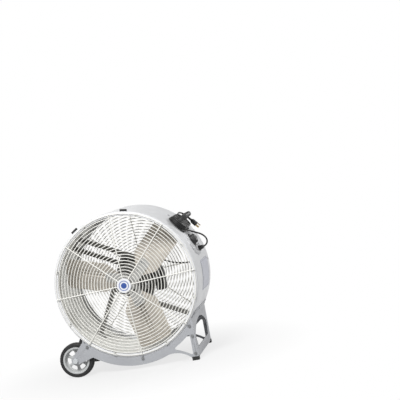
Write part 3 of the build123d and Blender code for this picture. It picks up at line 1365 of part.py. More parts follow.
with BuildPart() as rim_pads:
    for angle in RIM_PAD_ANGLES:
        pad_middle = -HALF_DEPTH + RIM_PAD_WIDTH / 2 + RIM_BEND
        with BuildSketch(on_drum(angle, pad_middle, SEAT)) as rim_pad_outline:
            Rectangle(RIM_PAD_LENGTH, RIM_PAD_WIDTH)
        extrude(amount=RIM_PAD_HEIGHT)
rim_pads.part.label = "rim_pads"
export_step(rim_pads.part, "parts/rim_pads.step")

# ---------------------------------------------------------------- handle, cord and plug

wrap_floor = 2 * SEAT + CONTROL_SHEET
wrap_top = WRAP_BASE + WRAP_LEVELS * CORD_DIAMETER + 2 * SEAT
wrap_inner = WRAP_CORE + SEAT
wrap_outer = wrap_inner + WRAP_LAYERS * CORD_DIAMETER


def handle_level(height):
    """The plane across the handle at this height above the drum."""
    return on_drum(HANDLE_ANGLE, 0, height)


with BuildPart() as wrap_base:
    with BuildSketch(handle_level(wrap_floor)) as flange_shape:
        SlotCenterToCenter(WRAP_SPACING, 2 * (wrap_outer + WRAP_FLANGE), rotation=90)
    extrude(amount=WRAP_BASE - wrap_floor)
    with BuildSketch(handle_level(wrap_floor)) as core_shape:
        SlotCenterToCenter(WRAP_SPACING, 2 * WRAP_CORE, rotation=90)
    extrude(amount=wrap_top - wrap_floor)
    with BuildSketch(handle_level(SEAT)) as base_feet:
        with Locations(*handle_bolt_spots):
            Rectangle(POST_SIZE, POST_SIZE)
    extrude(amount=wrap_floor - SEAT)
    with BuildSketch(handle_level(0)) as base_holes:
        with Locations(*handle_bolt_spots):
            Circle(FRAME_BOLT / 2 + HOLE_PLAY)
    extrude(amount=wrap_top, mode=Mode.SUBTRACT)
wrap_base.part.label = "wrap_base"
export_step(wrap_base.part, "parts/wrap_base.step")

grip_plane = Plane(
    origin=handle_level(GRIP_HEIGHT).origin, x_dir=handle_plane.x_dir, z_dir=(0, -1, 0)
)
grip_half = (POST_SPACING + POST_SIZE) / 2

with BuildPart() as handle_grip:
    with BuildSketch(handle_level(wrap_top + SLIP)) as grip_posts:
        with Locations(*handle_bolt_spots):
            RectangleRounded(POST_SIZE, POST_SIZE, POST_CORNER)
    extrude(amount=GRIP_HEIGHT - wrap_top - SLIP)
    with BuildSketch(grip_plane) as grip_section:
        Circle(GRIP_RADIUS)
    extrude(amount=grip_half, both=True)
    with BuildSketch(handle_level(wrap_top)) as grip_holes:
        with Locations(*handle_bolt_spots):
            Circle(FRAME_BOLT / 2 + SLIP)
    extrude(amount=BOLT_GRIP + SEAT, mode=Mode.SUBTRACT)
handle_grip.part.label = "handle_grip"
export_step(handle_grip.part, "parts/handle_grip.step")

with BuildPart() as handle_bolts:
    bolt_seat = sqrt(drum_bore**2 - (bolt_flats / 2) ** 2) - DRUM_RADIUS - SLIP
    for spot in handle_bolt_spots:
        seat = shifted(handle_level(bolt_seat), *spot)
        hexagon_on(seat, bolt_flats, -bolt_head)
        disc_on(seat, FRAME_BOLT / 2, wrap_top + BOLT_GRIP - bolt_seat)
handle_bolts.part.label = "handle_bolts"
export_step(handle_bolts.part, "parts/handle_bolts.step")

# the supply cord: a lead out of the gland, the turns on the core, and a tail to the plug
with BuildPart() as power_cord_coil:
    with BuildSketch(handle_level(WRAP_BASE + SEAT)) as coil_shape:
        SlotCenterToCenter(WRAP_SPACING, 2 * wrap_outer, rotation=90)
        SlotCenterToCenter(WRAP_SPACING, 2 * wrap_inner, rotation=90, mode=Mode.SUBTRACT)
    extrude(amount=WRAP_LEVELS * CORD_DIAMETER)
power_cord_coil.part.label = "power_cord_coil"
export_step(power_cord_coil.part, "parts/power_cord_coil.step")

gland_mouth = on_drum(GLAND_TURN, GLAND_SHIFT, gland_seat + GLAND_HEIGHT)

# points of the cord as (down the drum's side, to the rear, out of it) from the handle's foot
lead_route = [
    (167.4, 34.0, 0.9),
    (165.6, 34.0, 16.0),
    (155.6, 33.0, 28.3),
    (138.6, 31.0, 34.5),
    (114.5, 27.0, 32.4),
    (89.5, 19.0, 22.0),
    (67.0, 5.0, 13.6),
    (51.0, -17.0, 11.9),
    (42.5, -41.0, 12.3),
    (36.3, -59.0, 13.5),
]

tail_route = [
    (8.0, 81.0, 44.0),
    (-8.0, 81.0, 44.0),
    (-25.0, 76.5, 42.5),
    (-37.0, 62.5, 39.0),
    (-40.5, 44.0, 35.0),
    (-39.5, 24.0, 30.5),
    (-37.5, 4.0, 25.0),
]

with BuildPart() as power_cord_lead:
    lead_points = [gland_mouth.origin]
    lead_points += [handle_plane.from_local_coords(point) for point in lead_route]
    lead_volume = cord_tube(lead_points, CORD_DIAMETER, gland_mouth)
    print("cord lead volume", round(power_cord_lead.part.volume), "of", round(lead_volume))
    add(power_cord_coil.part, mode=Mode.SUBTRACT)
power_cord_lead.part.label = "power_cord_lead"
export_step(power_cord_lead.part, "parts/power_cord_lead.step")

with BuildPart() as power_cord_tail:
    tail_points = [handle_plane.from_local_coords(point) for point in tail_route]
    tail_start = Plane(origin=tail_points[0], z_dir=tail_points[1] - tail_points[0])
    tail_volume = cord_tube(tail_points, CORD_DIAMETER, tail_start)
    print("cord tail volume", round(power_cord_tail.part.volume), "of", round(tail_volume))
    add(power_cord_coil.part, mode=Mode.SUBTRACT)
power_cord_tail.part.label = "power_cord_tail"
export_step(power_cord_tail.part, "parts/power_cord_tail.step")

boot_spot = Vector(*tail_route[0])


def plug_plane(along):
    """A plane across the plug that faces its pins, so far past the end of the cord."""
    spot = handle_plane.from_local_coords(boot_spot + Vector(along, 0, 0))
    return Plane(origin=spot, x_dir=(0, 1, 0), z_dir=handle_plane.x_dir)


plug_face = BOOT_LENGTH + PLUG_LENGTH

with BuildPart() as plug:
    with BuildSketch(plug_plane(0)) as boot_end:
        Circle(BOOT_RADIUS)
    extrude(amount=BOOT_LENGTH, taper=-BOOT_TAPER)
    with BuildSketch(plug_plane(BOOT_LENGTH)) as plug_shape:
        RectangleRounded(PLUG_WIDTH, PLUG_HEIGHT, PLUG_CORNER)
    extrude(amount=PLUG_LENGTH)
    fillet(plug.faces().sort_by_distance(plug_plane(plug_face).origin)[0].edges(), PLUG_EDGE)
plug.part.label = "plug"
export_step(plug.part, "parts/plug.step")

with BuildPart() as plug_pins:
    with BuildSketch(plug_plane(plug_face + SLIP)) as pin_shapes:
        for side in (-1, 1):
            with Locations((side * PIN_SPACING / 2, -PIN_DROP)):
                Rectangle(PIN_SHEET, PIN_WIDTH)
        with Locations((0, PIN_SPACING - PIN_DROP)):
            Circle(EARTH_PIN)
    extrude(amount=PIN_LENGTH)
plug_pins.part.label = "plug_pins"
export_step(plug_pins.part, "parts/plug_pins.step")
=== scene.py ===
import json
import math

import bmesh
import bpy
from mathutils import Matrix, Vector


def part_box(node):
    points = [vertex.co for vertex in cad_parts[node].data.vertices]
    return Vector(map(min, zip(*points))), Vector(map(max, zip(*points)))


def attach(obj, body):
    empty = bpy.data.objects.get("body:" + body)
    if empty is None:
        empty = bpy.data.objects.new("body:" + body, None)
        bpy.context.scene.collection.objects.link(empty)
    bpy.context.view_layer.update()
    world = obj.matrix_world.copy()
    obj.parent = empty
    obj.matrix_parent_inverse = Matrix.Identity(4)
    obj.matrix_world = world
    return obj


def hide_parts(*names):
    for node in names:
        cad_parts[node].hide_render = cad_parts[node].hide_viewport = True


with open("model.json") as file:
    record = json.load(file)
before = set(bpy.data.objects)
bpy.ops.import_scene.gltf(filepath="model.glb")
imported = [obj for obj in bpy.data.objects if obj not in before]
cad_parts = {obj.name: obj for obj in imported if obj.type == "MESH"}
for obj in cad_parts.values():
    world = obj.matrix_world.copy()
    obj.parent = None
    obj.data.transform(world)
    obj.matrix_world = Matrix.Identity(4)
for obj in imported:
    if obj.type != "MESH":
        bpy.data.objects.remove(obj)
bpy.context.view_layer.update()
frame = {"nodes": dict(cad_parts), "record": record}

# The looks of a portable drum fan. Lengths are metres and angles degrees. +Z is up, the front guard faces -Y.

# -------------------------------- sizes that the pieces share

TURN_FULL = 360.0
REAR = Vector((0, 1, 0))
FRONT = Vector((0, -1, 0))
RIGHT = Vector((1, 0, 0))
UP = Vector((0, 0, 1))

drum_low, drum_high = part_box("drum_housing")
DRUM_MIDDLE = (drum_low + drum_high) / 2
DRUM_RADIUS = (drum_high.z - drum_low.z) / 2

# angles about the drum's axis start at its right side and run up, depths start at its middle and run to the
# rear, and seats are heights above its wall
HANDLE_ANGLE = 40.0
PLATE_SEAT = 0.0023
GLAND_ANGLE = 14.8
GLAND_DEPTH = 0.034
GLAND_SEAT = 0.0026
GLAND_HEIGHT = 0.024
SWITCH_ANGLE = 23.5
SWITCH_DEPTH = -0.014
KNOB_SEAT = 0.0059


def placed(spot, x, y, z):
    """A place whose local axes are the three directions."""
    place = Matrix.Identity(4)
    for column, direction in enumerate((x, y, z)):
        place.col[column] = (*direction, 0)
    place.col[3] = (*spot, 1)
    return place


def on_drum(angle, depth=0.0, height=0.0):
    """A place on the drum's wall: local X runs down its side, Y to the rear and Z out of it."""
    turn = math.radians(angle)
    out = Vector((math.cos(turn), 0, math.sin(turn)))
    down = Vector((math.sin(turn), 0, -math.cos(turn)))
    return placed(DRUM_MIDDLE + out * (DRUM_RADIUS + height) + REAR * depth, down, REAR, out)


def facing_front(spot):
    """A place that faces the front: local X runs right, Y up and Z to the front."""
    return placed(Vector(spot), RIGHT, UP, FRONT)


def facing_rear(spot):
    """A place that faces the rear: local X runs left, Y up and Z to the rear."""
    return placed(Vector(spot), -RIGHT, UP, REAR)


def polar(radius, angle):
    """A point about the origin of a place that faces the front."""
    return radius * math.cos(math.radians(angle)), radius * math.sin(math.radians(angle))


def smooth_step(share):
    """0 before 0 and 1 after 1, with a soft start and end."""
    share = min(max(share, 0.0), 1.0)
    return share * share * (3 - 2 * share)


# -------------------------------- camera

CAMERA_SPOT = Vector((1.29039, -5.25261, 0.99628))
CAMERA_AIM = Vector((0.40582, 0.06833, 0.74086))
CAMERA_ROLL = -10.694
CAMERA_LENS = 97.13

camera_data = bpy.data.cameras.new("photo_camera")
camera_data.lens = CAMERA_LENS
camera_data.clip_end = 100.0
camera = bpy.data.objects.new("photo_camera", camera_data)
bpy.context.collection.objects.link(camera)
look = (CAMERA_AIM - CAMERA_SPOT).to_track_quat("-Z", "Y").to_matrix().to_4x4()
roll = Matrix.Rotation(math.radians(CAMERA_ROLL), 4, "Z")
camera.matrix_world = Matrix.Translation(CAMERA_SPOT) @ look @ roll
bpy.context.scene.camera = camera

# -------------------------------- finishes


def linear(red, green, blue):
    """A colour of the screen, 0 to 255, as a shader takes it."""
    return (*[((c / 255 + 0.055) / 1.055) ** 2.4 if c > 10 else c / 3294.6 for c in (red, green, blue)], 1.0)


def shaded(colour, factor):
    """The colour, lighter or darker."""
    return (*[min(c * factor, 1.0) for c in colour[:3]], 1.0)


SOFT_RANGE = (0.3, 0.7)
DUST = linear(172, 164, 150)
DUST_DETAIL = 5.0
SPECK_SCALE = 160.0
SPECK_RANGE = (0.68, 0.76)
SPECK_SHADE = 0.72
FINE_BUMP = 0.0002
EDGE_SAMPLES = 4
EDGE_RANGE = (0.98, 0.8)
TOP_RANGE = (0.35, 1.0)


class Finish:
    """A material made of nodes, with short names for the steps that several finishes share."""

    def __init__(self, name, roughness, metallic=0.0):
        self.material = bpy.data.materials.new(name)
        self.material.use_nodes = True
        self.nodes = self.material.node_tree.nodes
        self.links = self.material.node_tree.links
        self.shader = self.nodes["Principled BSDF"]
        self.shader.inputs["Roughness"].default_value = roughness
        self.shader.inputs["Metallic"].default_value = metallic
        self.coordinates = self.nodes.new("ShaderNodeTexCoord")

    def coated(self, weight, roughness):
        """Adds a clear coat."""
        self.shader.inputs["Coat Weight"].default_value = weight
        self.shader.inputs["Coat Roughness"].default_value = roughness

    def join(self, source, target):
        self.links.new(source, target)

    def stretched(self, scale):
        """The object's own coordinates, scaled apart along the axes."""
        mapping = self.nodes.new("ShaderNodeMapping")
        mapping.inputs["Scale"].default_value = scale
        self.join(self.coordinates.outputs["Object"], mapping.inputs["Vector"])
        return mapping.outputs["Vector"]

    def noise(self, scale, detail=3.0, roughness=0.55, vector=None):
        node = self.nodes.new("ShaderNodeTexNoise")
        node.inputs["Scale"].default_value = scale
        node.inputs["Detail"].default_value = detail
        node.inputs["Roughness"].default_value = roughness
        self.join(vector or self.coordinates.outputs["Object"], node.inputs["Vector"])
        return node.outputs["Fac"]

    def spread(self, value, low, high, to_low=0.0, to_high=1.0):
        """Maps a value from one range to another, held inside it."""
        node = self.nodes.new("ShaderNodeMapRange")
        node.inputs["From Min"].default_value = low
        node.inputs["From Max"].default_value = high
        node.inputs["To Min"].default_value = to_low
        node.inputs["To Max"].default_value = to_high
        self.join(value, node.inputs["Value"])
        return node.outputs["Result"]

    def math(self, operation, first, second):
        node = self.nodes.new("ShaderNodeMath")
        node.operation = operation
        for socket, value in zip(node.inputs, (first, second)):
            if isinstance(value, float):
                socket.default_value = value
            else:
                self.join(value, socket)
        return node.outputs["Value"]

    def blend(self, share, first, second):
        """Mixes two colours, each a colour or another step's output."""
        node = self.nodes.new("ShaderNodeMix")
        node.data_type = "RGBA"
        self.join(share, node.inputs[0])
        for socket, value in zip((node.inputs[6], node.inputs[7]), (first, second)):
            if isinstance(value, tuple):
                socket.default_value = value
            else:
                self.join(value, socket)
        return node.outputs[2]

    def cloud(self, scale, detail=3.0):
        """Soft patches from 0 to 1."""
        return self.spread(self.noise(scale, detail), *SOFT_RANGE)

    def over(self, tint, share, strength, colour):
        """Lays a colour on the tint, by a share times a strength."""
        return self.blend(self.math("MULTIPLY", share, strength), tint, colour)

    def specked(self, tint, strength, colour):
        """Small darker specks of the colour on the tint."""
        specks = self.spread(self.noise(SPECK_SCALE, 2.0), *SPECK_RANGE)
        return self.over(tint, specks, strength, shaded(colour, SPECK_SHADE))

    def dusted(self, tint, strength, scale=22.0, start=0.35):
        """Pale dust in patches on the tint, where the surface faces up."""
        patches = self.spread(self.noise(scale, DUST_DETAIL), start, 0.75)
        return self.over(tint, self.math("MULTIPLY", self.facing_up(), patches), strength, DUST)

    def edges(self, width):
        """1 on sharp edges and 0 on flat places."""
        rounded = self.nodes.new("ShaderNodeBevel")
        rounded.samples = EDGE_SAMPLES
        rounded.inputs["Radius"].default_value = width
        geometry = self.nodes.new("ShaderNodeNewGeometry")
        product = self.nodes.new("ShaderNodeVectorMath")
        product.operation = "DOT_PRODUCT"
        self.join(rounded.outputs["Normal"], product.inputs[0])
        self.join(geometry.outputs["Normal"], product.inputs[1])
        return self.spread(product.outputs["Value"], *EDGE_RANGE)

    def facing_up(self):
        """1 where the piece's own surface faces up and 0 where it faces sideways or down."""
        parts = self.nodes.new("ShaderNodeSeparateXYZ")
        self.join(self.coordinates.outputs["Normal"], parts.inputs[0])
        return self.spread(parts.outputs["Z"], *TOP_RANGE)

    def about_axis(self):
        """How far the point is from the drum's axis, and how far along it from the drum's middle."""
        moved = self.nodes.new("ShaderNodeVectorMath")
        moved.operation = "SUBTRACT"
        self.join(self.coordinates.outputs["Object"], moved.inputs[0])
        moved.inputs[1].default_value = DRUM_MIDDLE
        parts = self.nodes.new("ShaderNodeSeparateXYZ")
        self.join(moved.outputs[0], parts.inputs[0])
        across = self.math("MULTIPLY", parts.outputs["X"], parts.outputs["X"])
        upward = self.math("MULTIPLY", parts.outputs["Z"], parts.outputs["Z"])
        return self.math("SQRT", self.math("ADD", across, upward), 0.0), parts.outputs["Y"]

    def colour(self, output):
        self.join(output, self.shader.inputs["Base Color"])

    def rough(self, value, low, high):
        """Roughness between two values, after a value that mostly stays in the soft range."""
        self.join(self.spread(value, *SOFT_RANGE, low, high), self.shader.inputs["Roughness"])

    def bump(self, height, strength, distance=FINE_BUMP):
        node = self.nodes.new("ShaderNodeBump")
        node.inputs["Strength"].default_value = strength
        node.inputs["Distance"].default_value = distance
        self.join(height, node.inputs["Height"])
        self.join(node.outputs["Normal"], self.shader.inputs["Normal"])


EDGE_WEAR_AND_SHADE_WIDTH = 0.0012
COAT_WEIGHT = 0.15
COAT_ROUGHNESS = 0.3
PAINT_GRAIN = 700.0
# the drum's inside tone is lighter than its outside: painted light that lifts the shade inside the drum
DRUM_OUTSIDE = linear(224, 225, 227)
DRUM_INSIDE_LIT = linear(236, 236, 231)
DRUM_SKIN = 0.0008
DRUM_RIM = 0.012
DISC_WHITE = linear(232, 233, 236)
DISC_BLUE = linear(46, 82, 160)
SPOT_TO = 0.0145
RING_FROM = 0.0200
RING_TO = 0.0256
PRINT_EDGE = 0.0004
RUB_WIDTH = 0.002
METAL_BUMP = 0.0001


def painted(name, colour, roughness, peel=0.15, dust=0.22, edge_wear_and_shade=None, coat=COAT_WEIGHT):
    """Powder coat: cloudy colour, orange peel, dust on top and, if asked for, a second tone in patches on the
    edges: worn paint, and on the control plate also painted shade along its edge.
    """
    finish = Finish(name, roughness)
    finish.coated(coat, COAT_ROUGHNESS)
    tint = finish.blend(finish.cloud(9.0), shaded(colour, 0.95), shaded(colour, 1.03))
    tint = finish.specked(tint, 0.35, colour)
    tint = finish.dusted(tint, dust)
    if edge_wear_and_shade:
        # patches of a second tone on the edges: worn paint, and painted shade along the control plate's edge
        chips_and_shade = finish.spread(finish.noise(55.0, 4.0), 0.42, 0.6)
        tint = finish.over(tint, finish.edges(EDGE_WEAR_AND_SHADE_WIDTH), chips_and_shade, edge_wear_and_shade)
    finish.colour(tint)
    finish.rough(finish.noise(30.0, 4.0), roughness - 0.08, roughness + 0.12)
    finish.bump(finish.noise(PAINT_GRAIN, 1.0), peel)
    return finish.material


def drum_paint():
    """The drum's powder coat, with painted light: lighter on the wall's inner side than outside, to lift the
    shade inside the drum.
    """
    finish = Finish("drum_paint", 0.42)
    finish.coated(COAT_WEIGHT, COAT_ROUGHNESS)
    reach, along = finish.about_axis()
    within_wall = finish.math("LESS_THAN", reach, DRUM_RADIUS - DRUM_SKIN)
    between_rims = finish.math("LESS_THAN", finish.math("ABSOLUTE", along, 0.0), drum_high.y - DRUM_RIM)
    # painted light: the wall's inner side between the rims takes the lighter inside tint
    inner = finish.math("MULTIPLY", within_wall, between_rims)
    cloud = finish.cloud(7.0, 4.0)
    outer_tint = finish.blend(cloud, shaded(DRUM_OUTSIDE, 0.95), shaded(DRUM_OUTSIDE, 1.02))
    inner_lit_tint = finish.blend(cloud, shaded(DRUM_INSIDE_LIT, 0.96), shaded(DRUM_INSIDE_LIT, 1.02))
    tint = finish.blend(inner, outer_tint, inner_lit_tint)
    tint = finish.specked(tint, 0.3, DRUM_OUTSIDE)
    tint = finish.dusted(tint, 0.12)
    scuffs = finish.spread(finish.noise(12.0, 6.0, 0.7, finish.stretched((1.0, 7.0, 1.0))), 0.62, 0.7)
    finish.colour(finish.over(tint, scuffs, 0.12, shaded(DRUM_OUTSIDE, 0.6)))
    finish.rough(finish.noise(30.0, 4.0), 0.34, 0.54)
    finish.bump(finish.noise(PAINT_GRAIN, 1.0), 0.15)
    return finish.material


def disc_paint():
    """The centre disc's pale coat, printed with a plain blue spot and a fainter ring round it."""
    finish = Finish("disc_paint", 0.35)
    finish.coated(0.3, 0.03)
    reach, _ = finish.about_axis()
    tint = finish.blend(finish.cloud(40.0), shaded(DISC_WHITE, 0.95), shaded(DISC_WHITE, 1.02))
    worn = finish.spread(finish.noise(260.0, 3.0), 0.3, 0.55, 0.45, 0.8)
    past_inner = finish.spread(reach, RING_FROM, RING_FROM + PRINT_EDGE)
    before_outer = finish.spread(reach, RING_TO, RING_TO - PRINT_EDGE)
    tint = finish.over(tint, finish.math("MULTIPLY", past_inner, before_outer), worn, DISC_BLUE)
    spot = finish.spread(reach, SPOT_TO, SPOT_TO - PRINT_EDGE)
    finish.colour(finish.blend(spot, tint, shaded(DISC_BLUE, 0.9)))
    finish.rough(finish.noise(60.0, 4.0), 0.26, 0.44)
    finish.bump(finish.noise(600.0, 1.0), 0.1)
    return finish.material


def metal(name, colour, roughness, brushed=(60.0, 60.0, 60.0), grime=0.3, metallic=1.0):
    """Bare metal: fine drawn lines, cloudy tarnish and grime in spots."""
    finish = Finish(name, roughness, metallic)
    lines = finish.noise(14.0, 4.0, 0.6, finish.stretched(brushed))
    tarnish = finish.spread(finish.noise(35.0, 4.0), 0.35, 0.7)
    tint = finish.blend(tarnish, shaded(colour, 0.86), shaded(colour, 1.05))
    spots = finish.spread(finish.noise(90.0, 5.0), 0.6, 0.74)
    finish.colour(finish.over(tint, spots, grime, shaded(colour, 0.35)))
    finish.rough(lines, roughness - 0.08, roughness + 0.14)
    finish.bump(lines, 0.12, METAL_BUMP)
    return finish.material


def moulded(name, colour, roughness, grain=900.0, strength=0.25, dust=0.12):
    """Black plastic or rubber: fine grain, rubbed edges, pale dust where it settles."""
    finish = Finish(name, roughness)
    tint = finish.blend(finish.cloud(25.0, 4.0), shaded(colour, 0.8), shaded(colour, 1.35))
    tint = finish.dusted(tint, dust, 60.0, 0.4)
    finish.colour(finish.over(tint, finish.edges(RUB_WIDTH), 0.5, shaded(colour, 2.4)))
    finish.rough(finish.noise(45.0, 4.0), roughness - 0.1, roughness + 0.1)
    finish.bump(finish.noise(grain, 2.0), strength)
    return finish.material


FINISHES = {
    "white_paint": painted("white_paint", linear(226, 227, 229), 0.42, dust=0.12),
    "wire_paint": painted("wire_paint", linear(236, 235, 230), 0.4, peel=0.08, dust=0.1),
    "cradle_paint": painted("cradle_paint", linear(170, 172, 176), 0.44, edge_wear_and_shade=linear(206, 208, 211)),
    "zinc": metal("zinc", linear(192, 194, 196), 0.38),
    "rubber": moulded("rubber", linear(38, 38, 38), 0.72),
    "tyre": moulded("tyre", linear(36, 36, 37), 0.78, grain=500.0, strength=0.4, dust=0.2),
    "rim_plastic": painted("rim_plastic", linear(188, 190, 190), 0.36, peel=0.06, edge_wear_and_shade=linear(238, 239, 240)),
    "blade_metal": metal("blade_metal", linear(208, 201, 191), 0.5, (4.0, 40.0, 40.0), 0.2, 0.1),
    "hub_metal": metal("hub_metal", linear(205, 205, 203), 0.42, (30.0, 30.0, 30.0), 0.25, 0.45),
    "shaft_steel": metal("shaft_steel", linear(190, 188, 184), 0.28, (90.0, 6.0, 90.0)),
    "dark_paint": painted("dark_paint", linear(104, 103, 100), 0.45, dust=0.25, edge_wear_and_shade=linear(156, 154, 150)),
    "black_plastic": moulded("black_plastic", linear(42, 42, 43), 0.5),
    "can_metal": metal("can_metal", linear(200, 200, 202), 0.3, (90.0, 6.0, 90.0)),
    "cord_rubber": moulded("cord_rubber", linear(34, 34, 35), 0.55, grain=400.0, strength=0.15),
    "nameplate_foil": metal("nameplate_foil", linear(190, 192, 202), 0.38, (6.0, 90.0, 90.0), 0.12, 0.3),
    "pin_brass": metal("pin_brass", linear(222, 196, 140), 0.28, (60.0, 60.0, 8.0), 0.35),
}
DISC_PAINT = disc_paint()
CLIP_COAT = painted("clip_coat", linear(222, 222, 218), 0.4, dust=0.15, edge_wear_and_shade=linear(150, 150, 148))
BOLT_ZINC = metal("bolt_zinc", linear(150, 151, 152), 0.4, grime=0.5)
# the control plate's edges take darker patches: partly worn paint, partly painted shade for the dark line
# along its edge
PLATE_EDGE_WEAR_AND_SHADE = linear(166, 167, 169)
PLATE_COAT = painted("plate_coat", linear(206, 207, 209), 0.64, dust=0.1, edge_wear_and_shade=PLATE_EDGE_WEAR_AND_SHADE, coat=0.0)
CAP_COAT = painted("cap_coat", linear(200, 203, 205), 0.38, dust=0.1, edge_wear_and_shade=linear(226, 228, 229))
PRINT_DARK = painted("print_dark", linear(60, 62, 66), 0.45, dust=0.05)
PRINT_WHITE = painted("print_white", linear(238, 238, 236), 0.45, dust=0.05)

# -------------------------------- pieces and mesh steps

# points across each window of a pierced ring and across the bridge to the next one
WINDOW_STATIONS = 8
BRIDGE_STATIONS = 6
HEXAGON = 6
HEAD_DOME = ((0.45, 0.93), (0.75, 0.72), (0.95, 0.35), (1.0, 0.0))


def piece(name, mesh, slot, body="fan_frame", stands_for=(), material=None, crease=35.0, soften=0.0):
    """A named object made of a bmesh, with its finish, on its body; soften rounds its sharp edges."""
    bmesh.ops.recalc_face_normals(mesh, faces=mesh.faces)
    data = bpy.data.meshes.new(name)
    mesh.to_mesh(data)
    mesh.free()
    data.shade_smooth()
    data.set_sharp_from_angle(angle=math.radians(crease))
    data.materials.append(material or FINISHES[slot])
    made = bpy.data.objects.new(name, data)
    bpy.context.collection.objects.link(made)
    if soften:
        round_edges(made, soften, crease)
    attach(made, body)
    if stands_for:
        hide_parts(*stands_for)
    return made


def round_edges(thing, width, crease=35.0, segments=2):
    """Rounds an object's sharp edges by a modifier."""
    bevel = thing.modifiers.new("rounded_edges", "BEVEL")
    bevel.width = width
    bevel.segments = segments
    bevel.limit_method = "ANGLE"
    bevel.angle_limit = math.radians(crease)
    bevel.harden_normals = True


def ring_of_points(mesh, place, radius, along, segments, wobble=None, step=0):
    """One round row of points of a turned shape, or its single point on the axis."""
    if radius == 0:
        return [mesh.verts.new(place @ Vector((0, 0, along)))]
    row = []
    for i in range(segments):
        reach = radius + (wobble(i, step) if wobble else 0.0)
        x, y = polar(reach, TURN_FULL * i / segments)
        row.append(mesh.verts.new(place @ Vector((x, y, along))))
    return row


def skin(mesh, rows, closed=False):
    """Joins rows of points with faces; a row of one point makes a fan."""
    pairs = list(zip(rows, rows[1:]))
    if closed:
        pairs.append((rows[-1], rows[0]))
    for low, high in pairs:
        count = max(len(low), len(high))
        for i in range(count):
            after = (i + 1) % count
            corners = [low[i % len(low)], low[after % len(low)], high[after % len(high)], high[i % len(high)]]
            mesh.faces.new(list(dict.fromkeys(corners)))


def lathe(mesh, place, profile, segments=64, wobble=None, closed=False):
    """Turns a profile of (radius, along) about a place's local Z."""
    rows = [
        ring_of_points(mesh, place, radius, along, segments, wobble, step)
        for step, (radius, along) in enumerate(profile)
    ]
    skin(mesh, rows, closed)


def rounded_rectangle(width, height, corner, steps=5):
    """Points round a rectangle with round corners."""
    points = []
    for quarter, (side, top) in enumerate(((1, 1), (-1, 1), (-1, -1), (1, -1))):
        for i in range(steps + 1):
            x, y = polar(corner, 90 * quarter + 90 * i / steps)
            points.append((side * (width / 2 - corner) + x, top * (height / 2 - corner) + y))
    return points


def loft(mesh, place, sections):
    """A closed skin over rounded rectangles, each given as (along, width, height, corner)."""
    rows = []
    for along, width, height, corner in sections:
        outline = rounded_rectangle(width, height, corner)
        rows.append([mesh.verts.new(place @ Vector((x, y, along))) for x, y in outline])
    skin(mesh, rows)
    mesh.faces.new(rows[0])
    mesh.faces.new(rows[-1])


def pierced_ring(mesh, place, radii, surface, thickness, windows):
    """A turned sheet with a ring of round-cornered windows; surface(radius) is its outer side."""
    count, turn, inner, outer, corner, phase = windows
    pitch = TURN_FULL / count
    stations = WINDOW_STATIONS + BRIDGE_STATIONS
    segments = count * stations

    def half_window(radius):
        """Half a window's turn at a radius, less near its round corners."""
        inset = max(min(radius - inner, outer - radius), 0.0)
        missing = max(corner - inset, 0.0)
        return turn / 2 - math.degrees((corner - math.sqrt(corner * corner - missing * missing)) / radius)

    def angles(radius):
        """The directions of a row's points: across each window, then across the bridge after it."""
        half = half_window(min(max(radius, inner), outer))
        found = []
        for k in range(count):
            middle = phase + pitch * k
            bridge = pitch - 2 * half
            found += [middle + half * (2 * i / WINDOW_STATIONS - 1) for i in range(WINDOW_STATIONS)]
            found += [middle + half + bridge * i / BRIDGE_STATIONS for i in range(BRIDGE_STATIONS)]
        return found

    outside, inside = [], []
    for radius in radii:
        for rows, depth in ((outside, 0.0), (inside, thickness)):
            along = surface(radius) - depth
            row = [Vector((*polar(radius, angle), along)) for angle in angles(radius)]
            rows.append([mesh.verts.new(place @ point) for point in row])

    def solid(j, i):
        """Whether the sheet is there between two rows, at a station."""
        if not 0 <= j < len(radii) - 1:
            return False
        in_window = i % stations < WINDOW_STATIONS
        return not (in_window and radii[j] >= inner and radii[j + 1] <= outer)

    for j in range(len(radii) - 1):
        for i in range(segments):
            if not solid(j, i):
                continue
            after = (i + 1) % segments
            mesh.faces.new((outside[j][i], outside[j][after], outside[j + 1][after], outside[j + 1][i]))
            mesh.faces.new((inside[j][i], inside[j + 1][i], inside[j + 1][after], inside[j][after]))
            # a wall closes the sheet wherever the place beside this one is open
            walls = (
                ((j - 1, i), (j, i), (j, after)),
                ((j + 1, i), (j + 1, i), (j + 1, after)),
                ((j, (i - 1) % segments), (j, i), (j + 1, i)),
                ((j, after), (j, after), (j + 1, after)),
            )
            for neighbour, first, last in walls:
                if not solid(*neighbour):
                    a, b = outside[first[0]][first[1]], outside[last[0]][last[1]]
                    c, d = inside[last[0]][last[1]], inside[first[0]][first[1]]
                    mesh.faces.new((a, b, c, d))


def domed_screw(mesh, place, radius, height, segments=20):
    """A low domed head that stands on a place."""
    profile = [(0.0, height)]
    profile += [(radius * share, height * rise) for share, rise in HEAD_DOME]
    lathe(mesh, place, profile, segments)


# -------------------------------- the supply cord

CORD_DIAMETER = 0.008
WRAP_SPACING = 0.1
TURN_COUNT = 6
INNER_TURN = 0.0323
OUTER_TURN = 0.0403
TURN_LEVELS = (0.0113, 0.0193, 0.0273)
END_STEPS = 8
SIDE_STEPS = 4
FIRST_STEP = 10.0
STEP_STATIONS = 2.8

